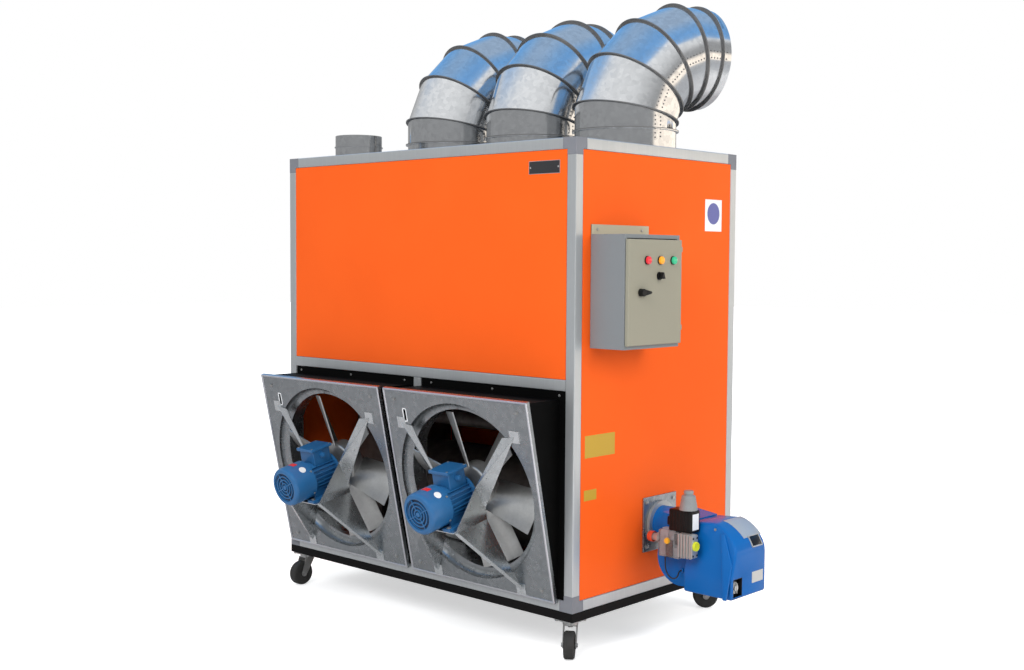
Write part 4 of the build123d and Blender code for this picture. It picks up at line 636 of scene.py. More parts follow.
    def finish(self, name: str, look: Finish, body: str = "cabinet", angle: float = 35.0,
               slot: Optional[str] = None, stands_for: Sequence[str] = ()) -> bpy.types.Object:
        """Close the mesh and make it a piece that rides on a body.

        Args:
            name: the piece's name.
            look: its finish.
            body: the CAD body that it moves with.
            angle: edges sharper than this stay sharp, in degrees.
            slot: not used.
            stands_for: CAD nodes that it replaces.

        Returns:
            The piece.
        """
        bmesh.ops.remove_doubles(self.mesh, verts=self.mesh.verts, dist=self.MERGE)
        bmesh.ops.recalc_face_normals(self.mesh, faces=self.mesh.faces)
        made = smooth_piece(name, self.mesh, look, angle)
        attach(made, body)
        if stands_for:
            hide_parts(*stands_for)
        log.info("%s: %d faces", name, len(made.data.polygons))
        return made


@dataclass
class CadDresser:
    """Gives every CAD node that stays its finish, and rounds the edges of those seen close."""

    flat_angle: float = 0.5
    sharp_angle: float = 30.0
    steps: int = 2

    def paint(self, look: Finish, *nodes: str) -> None:
        """Dress CAD nodes as they are."""
        for node in nodes:
            target = frame["nodes"][node]
            target.data.materials.clear()
            target.data.materials.append(look.material())
            log.info("%s: %s", node, look.name)

    def rounded(self, node: str, look: Finish, width: float = 0.0) -> bpy.types.Object:
        """Stand a smooth copy with rounded edges in a node's place.

        Args:
            node: the CAD node.
            look: the copy's finish.
            width: how far its edges are rounded, in millimetres.

        Returns:
            The copy.
        """
        source = frame["nodes"][node]
        mesh = bmesh.new()
        mesh.from_mesh(source.data)
        bmesh.ops.remove_doubles(mesh, verts=mesh.verts, dist=Shape.MERGE)
        bmesh.ops.dissolve_limit(mesh, angle_limit=radians(self.flat_angle), verts=mesh.verts,
                                 edges=mesh.edges)
        made = smooth_piece(node + "_dressed", mesh, look, self.sharp_angle)
        if width:
            bevel = made.modifiers.new("rounded_edges", "BEVEL")
            bevel.width = width * MM
            bevel.segments = self.steps
            bevel.limit_method = "ANGLE"
            bevel.angle_limit = radians(self.sharp_angle)
            bevel.use_clamp_overlap = True
            bevel.harden_normals = True
        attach(made, body_of(source)[0])
        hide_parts(node)
        log.info("%s: rounded, %s", node, look.name)
        return made


@dataclass
class Studio:
    """Floor, background, lamps and the camera at the photograph's angle."""

    camera_spot: tuple[float, float, float] = (3.4387, -3.7682, 1.413)
    yaw: float = 42.777
    pitch: float = -3.366
    roll: float = -0.342
    lens: float = 44.98
    fill_colour: tuple[float, ...] = (0.62, 0.64, 0.67, 1.0)
    floor_half: float = 30.0
    floor_fade: Pair = (1.8, 5.0)
    floor_glow: Pair = (0.55, 1.0)
    floor_yard: Pair = (0.6, 1.6)
    floor_colour: tuple[float, ...] = (0.9, 0.9, 0.9, 1.0)
    floor_mirrored: tuple[float, ...] = (0.52, 0.52, 0.53, 1.0)
    lamp_size: float = 3.0
    lamps: Sequence[tuple[str, Point, Point, float, Point]] = (
        ("key", (1.5, -4.5, 4.2), (0.0, 0.0, 1.0), 190.0, (1.0, 1.0, 1.0)),
        ("side", (5.0, 0.5, 3.2), (0.5, 0.0, 1.0), 125.0, (1.0, 0.97, 0.92)),
        ("back", (-3.0, 4.5, 3.6), (0.0, 0.0, 1.0), 110.0, (1.0, 1.0, 1.0)),
    )
    ground_stops: Sequence[tuple[float, Point]] = (
        (0.0, (0.55, 0.55, 0.55)),
        (0.5, (0.30, 0.305, 0.31)),
        (0.6, (0.42, 0.425, 0.43)),
        (0.75, (0.92, 0.93, 0.94)),
        (0.90, (1.15, 1.16, 1.17)),
    )
    sky_stops: Sequence[tuple[float, Point]] = (
        (0.55, (0.30, 0.58, 0.98)),
        (0.75, (0.17, 0.46, 0.92)),
        (0.88, (0.24, 0.50, 0.88)),
        (1.0, (0.40, 0.56, 0.78)),
    )
    skyline: Pair = (0.56, 0.60)
    sky_azimuth: float = 115.0
    sky_lean: float = 0.35
    yard_azimuth: float = 60.0
    yard_edge: Pair = (0.66, 0.74)
    wall_top: Pair = (0.52, 0.42)
    wall_colour: tuple[float, ...] = (0.40, 0.405, 0.41, 1.0)
    glare_top: Pair = (0.16, 0.11)
    glare_colour: tuple[float, ...] = (1.7, 1.5, 1.28, 1.0)

    def camera(self) -> None:
        """Place the camera."""
        data = bpy.data.cameras.new("photo_camera")
        data.sensor_width = 36.0
        data.lens = self.lens
        data.clip_end = 100.0
        made = bpy.data.objects.new("photo_camera", data)
        bpy.context.scene.collection.objects.link(made)
        turn = (
            Matrix.Rotation(radians(self.yaw), 4, "Z")
            @ Matrix.Rotation(radians(self.pitch), 4, "X")
            @ Matrix.Rotation(radians(self.roll), 4, "Y")
        )
        made.matrix_world = Matrix.Translation(self.camera_spot) @ turn @ Matrix.Rotation(pi / 2, 4, "X")
        bpy.context.scene.camera = made

    def lamp(self, name: str, spot: Point, aim: Point, power: float, colour: Point) -> None:
        """Add one soft lamp.

        Args:
            name: its name.
            spot: where it hangs.
            aim: what it points at.
            power: its power in watts.
            colour: its colour.
        """
        data = bpy.data.lights.new(name, "AREA")
        data.size = self.lamp_size
        data.energy = power
        data.color = colour
        made = bpy.data.objects.new(name, data)
        made.visible_glossy = False
        bpy.context.scene.collection.objects.link(made)
        direction = Vector(aim) - Vector(spot)
        turn = direction.to_track_quat("-Z", "Y").to_matrix().to_4x4()
        made.matrix_world = Matrix.Translation(spot) @ turn

    @staticmethod
    def ramp(board: NodeBoard, value: Socket, stops: Sequence[tuple[float, Point]]) -> Socket:
        """Look a value up in a row of colours.

        Args:
            board: the world's nodes.
            value: what is looked up.
            stops: each colour with its place from 0 to 1.

        Returns:
            The colour.
        """
        ramp = board.node("ShaderNodeValToRGB")
        while len(ramp.color_ramp.elements) < len(stops):
            ramp.color_ramp.elements.new(0.5)
        for element, (spot, colour) in zip(ramp.color_ramp.elements, stops):
            element.position = spot
            element.color = (*colour, 1.0)
        board.feed(value, ramp.inputs[0])
        return ramp.outputs[0]

    @staticmethod
    def toward(board: NodeBoard, split: bpy.types.Node, azimuth: float) -> Socket:
        """How far a direction points to an azimuth, from -1 to 1.

        Args:
            board: the world's nodes.
            split: the node that holds the direction's three parts.
            azimuth: in degrees from X.

        Returns:
            The cosine along the azimuth.
        """
        across = board.math("MULTIPLY", split.outputs[0], cos(radians(azimuth)))
        back = board.math("MULTIPLY", split.outputs[1], sin(radians(azimuth)))
        return board.math("ADD", across, back)

    def world(self) -> None:
        """A white background for the eye, an even fill, and the dome that metal mirrors.

        The dome has a graded ground, a bright patch and a wall beyond it, and a blue sky above a
        leaning skyline.
        """
        made = bpy.data.worlds.new("studio_dome")
        made.use_nodes = True
        bpy.context.scene.world = made
        board = NodeBoard(made.node_tree)
        back = made.node_tree.nodes["Background"]
        split = board.node("ShaderNodeSeparateXYZ")
        board.feed(board.node("ShaderNodeTexCoord").outputs["Generated"], split.inputs[0])
        rise = split.outputs[2]
        ground = self.ramp(board, board.span(rise, -1.0, 1.0, 0.0, 1.0), self.ground_stops)
        yard = self.toward(board, split, self.yard_azimuth)
        aside = board.span(yard, *self.yard_edge, 0.0, 1.0)
        wall = board.math("MULTIPLY", aside, board.span(rise, *self.wall_top, 0.0, 1.0))
        bright = board.math("MULTIPLY", aside, board.span(rise, *self.glare_top, 0.0, 1.0))
        scene = board.mix(bright, board.mix(wall, ground, self.wall_colour), self.glare_colour)
        lean = board.math("MULTIPLY", self.toward(board, split, self.sky_azimuth), self.sky_lean)
        height = board.math("ADD", rise, lean)
        sky = self.ramp(board, height, self.sky_stops)
        mirrored = board.mix(board.span(height, *self.skyline, 0.0, 1.0), scene, sky)
        path = board.node("ShaderNodeLightPath")
        seen = board.mix(path.outputs["Is Glossy Ray"], self.fill_colour, mirrored)
        direct = board.math("MAXIMUM", path.outputs["Is Camera Ray"], path.outputs["Is Transmission Ray"])
        board.feed(board.mix(direct, seen, WHITE), back.inputs[0])
        back.inputs[1].default_value = 1.0

    def floor(self) -> None:
        """A wide pale floor that melts into the background and keeps the shadow."""
        mesh = bmesh.new()
        bmesh.ops.create_grid(mesh, x_segments=1, y_segments=1, size=self.floor_half)
        data = bpy.data.meshes.new("studio_floor")
        mesh.to_mesh(data)
        mesh.free()
        made = bpy.data.objects.new("studio_floor", data)
        bpy.context.scene.collection.objects.link(made)
        look = bpy.data.materials.new("studio_floor")
        look.use_nodes = True
        board = NodeBoard(look.node_tree)
        shader = look.node_tree.nodes["Principled BSDF"]
        place = board.node("ShaderNodeTexCoord").outputs["Object"]
        split = board.node("ShaderNodeSeparateXYZ")
        board.feed(place, split.inputs[0])
        share = board.span(split.outputs[0], *self.floor_yard, 0.0, 1.0)
        yard = board.mix(share, self.floor_mirrored, self.floor_colour)
        shader.inputs["Roughness"].default_value = 0.9
        shader.inputs["Specular IOR Level"].default_value = 0.0
        path = board.node("ShaderNodeLightPath")
        tone = board.mix(path.outputs["Is Glossy Ray"], self.floor_colour, yard)
        board.feed(tone, shader.inputs["Base Color"])
        shader.inputs["Emission Color"].default_value = WHITE
        spread = board.node("ShaderNodeVectorMath", operation="LENGTH")
        board.feed(place, spread.inputs[0])
        fade = board.span(spread.outputs["Value"], *self.floor_fade, *self.floor_glow)
        glow = board.math("MULTIPLY", path.outputs["Is Camera Ray"], fade)
        board.feed(glow, shader.inputs["Emission Strength"])
        data.materials.append(look)

    def build(self) -> None:
        """Set up the whole studio."""
        bpy.context.scene.view_settings.view_transform = "Standard"
        self.camera()
        self.world()
        self.floor()
        for row in self.lamps:
            self.lamp(*row)


def joint(name: str) -> dict:
    """The record's joint of that name."""
    return next(item for item in frame["joints"] if item["name"] == name)


def box(node: str) -> tuple[Vector, Vector]:
    """A CAD node's low and high corner, in millimetres."""
    low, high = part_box(node)
    return Vector(low) / MM, Vector(high) / MM


def local_frame(origin: Point, across: Point, up: Point) -> Matrix:
    """A frame from its origin in millimetres, its X and its Y; Z is their cross product."""
    x, y = Vector(across).normalized(), Vector(up).normalized()
    turn = Matrix((x, y, x.cross(y))).transposed().to_4x4()
    return Matrix.Translation(Vector(origin) * MM) @ turn


@dataclass
class FanUnit:
    """What shows on one axial fan beyond its CAD solids, in the fan's own frame."""

    side: str
    edge_corner: Pair = (365.5, 368)
    edge_radius: float = 4.5
    slot_rim: tuple[Point, Point] = ((-276, 245.5, 0), (-254, 299.5, 2.25))
    slot_border: float = 4.5
    cowl_radius: float = 78
    cowl_start: float = 144
    cowl_end: float = 247
    cowl_lip: float = 3
    cowl_shoulder: Profile = ((0, 17), (1.2, 10), (4.6, 4.6), (10, 1.2))
    cowl_mouth: Profile = ((2, 0), (0, 1), (0, 7), (-4, 9))
    grille_radius: float = 58
    grille_rings: tuple[float, ...] = (17, 31, 45)
    ring_profile: Profile = ((-2.2, 8), (-2.2, 2.6), (0, 2), (2.2, 2.6), (2.2, 8))
    hub_profile: Profile = ((0, 2), (9, 2), (11, 8))
    back_span: Pair = (16, 8)
    back_gap: float = 1
    spoke_span: Pair = (8, 2.4)
    spoke_half: float = 2
    spoke_count: int = 4
    spoke_turn: float = 0.3
    label_lift: float = 0.1
    label_depth: float = 0.5
    labels: tuple[tuple, ...] = (
        ("red_label", Finishes.red_label, 88, 190, (17, 11), False),
        ("white_label", Finishes.white, 50, 182, (14, 14), True),
    )
    lid_screws: tuple[Rod, ...] = tuple(
        ((x, 119, z), (x, 121.8, z), 4.2, 0.8, 16) for x in (-41, 41) for z in (26, 114))
    cowl_screws: tuple[float, ...] = (35, 145, 215, 325)
    cowl_screw: tuple[float, float, int] = (4.5, 1, 16)
    cowl_screw_span: Pair = (77, 81)
    cowl_screw_row: float = 154
    gland: tuple[Rod, ...] = (
        ((41.5, 85, 70), (48.5, 85, 70), 12.5, 1.2, 6),
        ((48.5, 85, 70), (57.5, 85, 70), 9.8, 2, 24),
    )
    screw_half: Pair = (315, 330.5)
    foot_half: float = 62.5
    foot_drop: float = -70
    foot_rows: Pair = (65, 165)
    place: Matrix = field(init=False)

    def __post_init__(self) -> None:
        """Find the fan's frame from its spin joint."""
        spin = joint(f"fan_{self.side}_spin")
        out = Vector(spin["axis"]).normalized()
        self.place = local_frame(Vector(spin["pos_m"]) / MM, (1, 0, 0), out.cross(Vector((1, 0, 0))))

    def spot(self, x: float, y: float, z: float) -> Vector:
        """A point of the fan's frame, in the world's millimetres."""
        return Shape(self.place).at((x, y, z)) / MM

    def way(self, axis: Point) -> Vector:
        """A direction of the fan's frame, in the world."""
        return self.place.to_3x3() @ Vector(axis)

    def piece(self, shape: Shape, kind: str, look: Finish, **more: object) -> None:
        """Finish a shape as this fan's piece of a kind."""
        shape.finish(f"{kind}_{self.side}", look, **more)

    def rolled_edge(self) -> None:
        """The rolled border of the plate, in a lighter metal than its sheet: a painted highlight along the
        plate's edges.
        """
        x, y = self.edge_corner
        shape = Shape(self.place)
        corners = [(-x, -y), (x, -y), (x, y), (-x, y)]
        for a, b in zip(corners, corners[1:] + corners[:1]):
            shape.rod((*a, 0.0), (*b, 0.0), self.edge_radius, count=12)
        for x, y in corners:
            bmesh.ops.create_uvsphere(shape.mesh, u_segments=12, v_segments=8, radius=self.edge_radius * MM,
                                      matrix=self.place @ Matrix.Translation((x * MM, y * MM, 0.0)))
        self.piece(shape, "fan_edge", Finishes.trim)

    def grille(self) -> None:
        """The motor's cover with its round air intake: rings and spokes over a dark disc, painted shade for
        the cover's shaded inside.
        """
        end, radius, inner = self.cowl_end, self.cowl_radius, self.grille_radius
        profile = [(radius - self.cowl_lip, self.cowl_start), (radius, self.cowl_start)]
        profile += [(radius - inset, end - drop) for inset, drop in self.cowl_shoulder]
        profile += [(inner + step, end - drop) for step, drop in self.cowl_mouth]
        self.piece(Shape(self.place).turned(profile, count=64), "motor_cowl", Finishes.motor, angle=50.0,
                   stands_for=("motor_fan_covers",))
        foot, top = (end - drop for drop in self.back_span)
        # A dark disc behind the grille: painted shade for the cover's shaded inside.
        back = Shape(self.place).rod((0, 0, foot), (0, 0, top), inner - self.back_gap, count=48)
        self.piece(back, "grille_shade_disc", Finishes.grille)
        shape = Shape(self.place)
        for ring in self.grille_rings:
            shape.turned([(ring + step, end - drop) for step, drop in self.ring_profile])
        foot, top = (end - drop for drop in self.spoke_span)
        for i in range(self.spoke_count):
            turn = Matrix.Rotation(2 * pi * (i + self.spoke_turn) / self.spoke_count, 4, "Z")
            bar = Shape(self.place @ turn, shape.mesh)
            bar.block((self.grille_rings[0], -self.spoke_half, foot), (inner, self.spoke_half, top), 0.6, 1)
        shape.turned([(r, end - drop) for r, drop in self.hub_profile], count=32)
        self.piece(shape, "grille", Finishes.motor)

    def wrapped(self, kind: str, look: Finish, angle: float, z: float, size: Pair, disc: bool) -> None:
        """A thin label wrapped on the motor's cover.

        Args:
            kind: the piece's name before its side.
            look: its finish.
            angle: where it sits round the cover, in degrees from the fan's X.
            z: where it sits along the shaft.
            size: its half width round the cover and half length along it.
            disc: whether it is round.
        """
        shape = Shape(self.place)
        bmesh.ops.create_grid(shape.mesh, x_segments=10, y_segments=10, size=1.0)
        made = bmesh.ops.extrude_face_region(shape.mesh, geom=shape.mesh.faces[:])["geom"]
        raised = [g for g in made if isinstance(g, bmesh.types.BMVert)]
        bmesh.ops.translate(shape.mesh, verts=raised, vec=(0, 0, 1))
        for vert in shape.mesh.verts:
            u, v, up = vert.co
            if disc:
                u, v = u * (1 - v * v / 2) ** 0.5, v * (1 - u * u / 2) ** 0.5
            turn = radians(angle) + u * size[0] / self.cowl_radius
            reach = self.cowl_radius + self.label_lift + up * self.label_depth
            vert.co = shape.at((reach * cos(turn), reach * sin(turn), z + v * size[1]))
        self.piece(shape, kind, look)

    def small_parts(self) -> None:
        """Lid screws, the cover's screws and the cable gland."""
        screws = Shape(self.place).rods(*self.lid_screws)
        foot, top = self.cowl_screw_span
        for angle in self.cowl_screws:
            x, y = cos(radians(angle)), sin(radians(angle))
            ends = ((x * reach, y * reach, self.cowl_screw_row) for reach in (foot, top))
            screws.rod(*ends, *self.cowl_screw)
        self.piece(screws, "motor_screws", Finishes.zinc)
        gland = Shape(self.place).rods(*self.gland)
        self.piece(gland, "cable_gland", Finishes.motor)

    def build(self) -> None:
        """Make all of it."""
        self.rolled_edge()
        slot = Shape(self.place).rim(*self.slot_rim, self.slot_border, 2, 0.8)
        self.piece(slot, "slot_rim", Finishes.white)
        self.grille()
        for label in self.labels:
            self.wrapped(*label)
        self.small_parts()


@dataclass
class Bolts:
    """Every screw and bolt head, standing for the CAD's plain ones."""

    fans: Sequence[FanUnit]
    burner_half: float = 82
    wall_rows: Pair = (32, 288)
    wall_rise: float = 3
    wall_drop: float = 17
    rail_shares: tuple[float, ...] = (0.02, 0.235, 0.45, 0.55, 0.765, 0.98)
    rail_back: float = 1.5
    rail_drop: float = 15.7
    caster_half: float = 35
    caster_height: float = 133
    sunk: float = 0.5
    flange_share: float = 1.25
    flange_top: float = 1.2
    hex_span: Pair = (1, 4.8)
    pan_radius: float = 5
    pan_top: float = 2.8
    shape: Shape = field(default_factory=Shape)

    def hex_head(self, spot: Vector, out: Vector, radius: float = 7.5) -> None:
        """A flanged hex head.

        Args:
            spot: the middle of its seat.
            out: the way that it faces.
            radius: half its width across corners.
        """
        flange = radius * self.flange_share
        foot, top = self.hex_span
        self.shape.rod(spot - out * self.sunk, spot + out * self.flange_top, flange, 0.4, 24)
        self.shape.rod(spot + out * foot, spot + out * top, radius, 0.8, 6)

    def pan_head(self, spot: Vector, out: Vector) -> None:
        """A round head."""
        self.shape.rod(spot - out * self.sunk, spot + out * self.pan_top, self.pan_radius, 1.2, 20)

    def build(self) -> None:
        """Place all heads and make them one piece."""
        outward, forward, down = Vector((1, 0, 0)), Vector((0, -1, 0)), Vector((0, 0, -1))
        for fan in self.fans:
            for x in (-1, 1):
                for y in (-1, 1):
                    spot = fan.spot(x * fan.screw_half[0], y * fan.screw_half[1], 0)
                    self.hex_head(spot, fan.way((0, 0, 1)))
                for z in fan.foot_rows:
                    self.hex_head(fan.spot(x * fan.foot_half, fan.foot_drop, z), fan.way((0, 1, 0)), 7.8)
        low, high = box("burner_plate")
        for y in (-self.burner_half, self.burner_half):
            for z in (-self.burner_half, self.burner_half):
                self.hex_head(Vector((high.x, (low.y + high.y) / 2 + y, (low.z + high.z) / 2 + z)), outward)
        low, high = box("enclosure_body")
        for y in self.wall_rows:
            self.pan_head(Vector((low.x + self.wall_rise, low.y + y, high.z - self.wall_drop)), outward)
        low, high = box("fan_cowls")
        for share in self.rail_shares:
            x = low.x + share * (high.x - low.x)
            self.pan_head(Vector((x, high.y - self.rail_back, high.z - self.rail_drop)), forward)
        for caster in CASTERS:
            pin = Vector(joint(f"caster_{caster}_swivel")["pos_m"]) / MM
            for x in (-self.caster_half, self.caster_half):
                for y in (-self.caster_half, self.caster_half):
                    self.hex_head(Vector((pin.x + x, pin.y + y, self.caster_height)), down, 6.5)
        self.shape.finish("bolt_heads", Finishes.zinc, stands_for=("screws",))


@dataclass
class DuctRun:
    """The segmented elbows: joint lips and the rivets of their lock seams, both in a dark finish that paints
    the shade under each lip and round each rivet.
    """

    radius: float = 202
    bend: float = 308
    spacing: float = 488
    setback: float = 326
    rise: float = 91
    gores: int = 4
    lip: float = 5
    heads: int = 6
    rows: Pair = (1.0, -6.5)
    row_margin: float = 12
    head_radius: float = 3.4
    head_span: Pair = (-1.5, 1.4)
    turns: dict[str, float] = field(default_factory=lambda: {"left": 8.5, "middle": 1.7, "right": 16.4})

    @property
    def pitch(self) -> float:
        """The bend's angle of one gore, in degrees."""
        return 90.0 / self.gores

    def gore_frame(self, side: str, angle: float) -> Matrix:
        """The frame of a gore's axis.

        Args:
            side: which elbow.
            angle: the gore's angle of the bend, in degrees.

        Returns:
            A frame on the duct's middle line: X away from the bend's axis, Z along the duct.
        """
        low, high = box("frame_profiles")
        step = {"left": -1, "middle": 0, "right": 1}[side]
        turn = radians(self.turns[side])
        aim = Vector((sin(turn), cos(turn), 0.0))
        foot = Vector(((low.x + high.x) / 2 + step * self.spacing, high.y - self.setback, high.z + self.rise))
        outward = Vector((0, 0, sin(radians(angle)))) - aim * cos(radians(angle))
        along = Vector((0, 0, cos(radians(angle)))) + aim * sin(radians(angle))
        return local_frame(foot + (aim + outward) * self.bend, outward, along.cross(outward))

    def lips(self, cad: CadDresser, side: str) -> None:
        """Dress an elbow, its joint lips in their own dark finish: painted shade for the shadow under each
        lip.
        """
        made = cad.rounded("elbow_" + side, Finishes.duct)
        made.data.materials.append(Finishes.seam.material())
        frames = [self.gore_frame(side, self.pitch * i).inverted() for i in range(self.gores + 1)]
        whole = Shape(self.gore_frame(side, 0.0))
        axis = whole.at((-self.bend, 0, 0))
        outward, along = whole.place.col[0].to_3d(), whole.place.col[2].to_3d()
        for face in made.data.polygons:
            for corner in face.vertices:
                point = made.data.vertices[corner].co
                arm = point - axis
                angle = degrees(atan2(arm.dot(along), arm.dot(outward)))
                spot = frames[min(max(round(angle / self.pitch), 0), self.gores)] @ point
                if spot.xy.length > (self.radius + self.lip) * MM:
                    face.material_index = 1

    def rivets(self, side: str) -> None:
        """Two rows of small rivets along each gore's lock seam, dark with painted shade."""
        shape = Shape()
        for i in range(self.gores + 1):
            gore = Shape(self.gore_frame(side, self.pitch * i))
            turn = gore.place.to_3x3()
            for row in self.rows:
                normal = Vector((sin(radians(row)), -cos(radians(row)), 0.0))
                if (turn @ normal).x < 0:
                    normal.y = -normal.y
                out = turn @ normal
                half = (self.bend + self.radius * normal.x) * tan(radians(self.pitch / 2)) - self.row_margin
                for head in range(self.heads):
                    along = half * (2 * (head + 0.5) / self.heads - 1)
                    spot = gore.at(normal * self.radius + Vector((0, 0, along))) / MM
                    ends = (spot + out * reach for reach in self.head_span)
                    shape.rod(*ends, self.head_radius, 0.8, 10)
        shape.finish("rivets_" + side, Finishes.seam)

    def build(self, cad: CadDresser) -> None:
        """Dress all elbows."""
        for side in self.turns:
            self.lips(cad, side)
            self.rivets(side)


@dataclass
class EnclosureFittings:
    """The enclosure's lamps, wall strip, selector and lock lever, with X out of its door."""

    lamps: tuple[tuple[str, float], ...] = (("red", 108), ("amber", 184), ("green", 260))
    lamp_height: float = 310
    selector: Pair = (179, 255)
    lock: Pair = (72, 198)
    door_reach: float = 165
    strip_span: Pair = (0.5, 3.4)
    strip_drop: float = 34.5
    strip_round: float = 0.3
    lamp_barrel: Rod = ((-40, 0, 0), (-1.6, 0, 0), 10.5, 1, 24)
    bezel: Profile = ((15.2, 0), (15.5, 2), (15.0, 4.6), (14.6, 5.0), (14.2, 4.6), (14.2, 1))
    lens: Profile = ((14.1, 1), (14.1, 8.5), (13.0, 11.5), (10.0, 13.0), (5.5, 13.8), (0, 14.0))
    knob: Profile = ((0, 0), (14.5, 0), (14.5, 3), (13.5, 6), (0, 6))
    knob_wing: Profile = ((-11.5, -10), (11.5, -10), (3.5, 13.5), (-3.5, 13.5))
    wing_span: Pair = (5, 21)
    knob_barrel: Rod = ((-40, 0, 0), (-0.1, 0, 0), 10.8, 1, 24)
    lever: Profile = ((0, 0), (14, 0), (14, 4), (12.8, 17.5), (11.5, 19), (0, 19))
    lever_arm: Profile = ((0, -12), (40, -4.8), (47, 0), (40, 4.8), (0, 12))
    arm_span: Pair = (10, 18.5)
    grip_round: float = 2
    lock_barrel: Rod = ((-11.5, 0, 0), (-0.1, 0, 0), 8.8, 0.5, 24)
    lock_cam: Box = ((-11.5, -30, -7), (-8.5, 0, 7), 0.8)

    def on_door(self, y: float, z: float) -> Matrix:
        """The frame of a fitting on the door's front."""
        low = box("enclosure_body")[0]
        return Matrix.Translation(Vector((low.x + self.door_reach, low.y + y, low.z + z)) * MM)

    def grip(self, shape: Shape, outline: Profile, foot: float, top: float) -> None:
        """Add what a hand turns: an outline across and up, pushed out between two depths."""
        shape.prism([(foot, y, z) for y, z in outline], (top - foot, 0, 0), self.grip_round)

    def build(self) -> None:
        """Make the fittings."""
        out = (1, 0, 0)
        bezels = Shape()
        looks = {"red": Finishes.lamp_red, "amber": Finishes.lamp_amber, "green": Finishes.lamp_green}
        for colour, y in self.lamps:
            place = self.on_door(y, self.lamp_height)
            ring = Shape(place, bezels.mesh).turned(self.bezel, axis=out)
            ring.rod(*self.lamp_barrel)
            Shape(place).turned(self.lens, axis=out).finish("lamp_" + colour, looks[colour], "door")
        bezels.finish("lamp_bezels", Finishes.black, "door", stands_for=("door_lamps",))
        low, high = box("enclosure_body")
        near, far = self.strip_span
        strip = Shape()
        strip.block((low.x + near, low.y, high.z - self.strip_drop), (low.x + far, high.y, high.z),
                    self.strip_round, 1)
        strip.finish("enclosure_lug", Finishes.lug)
        knob = Shape(self.on_door(*self.selector)).turned(self.knob, axis=out)
        self.grip(knob, self.knob_wing, *self.wing_span)
        knob.rod(*self.knob_barrel)
        knob.finish("selector_knob", Finishes.black, "selector", stands_for=("selector_switch",))
        lever = Shape(self.on_door(*self.lock)).turned(self.lever, axis=out)
        self.grip(lever, self.lever_arm, *self.arm_span)
        lever.rod(*self.lock_barrel)
        lever.block(*self.lock_cam)
        lever.finish("lock_lever", Finishes.black, "lock", stands_for=("door_lock",))


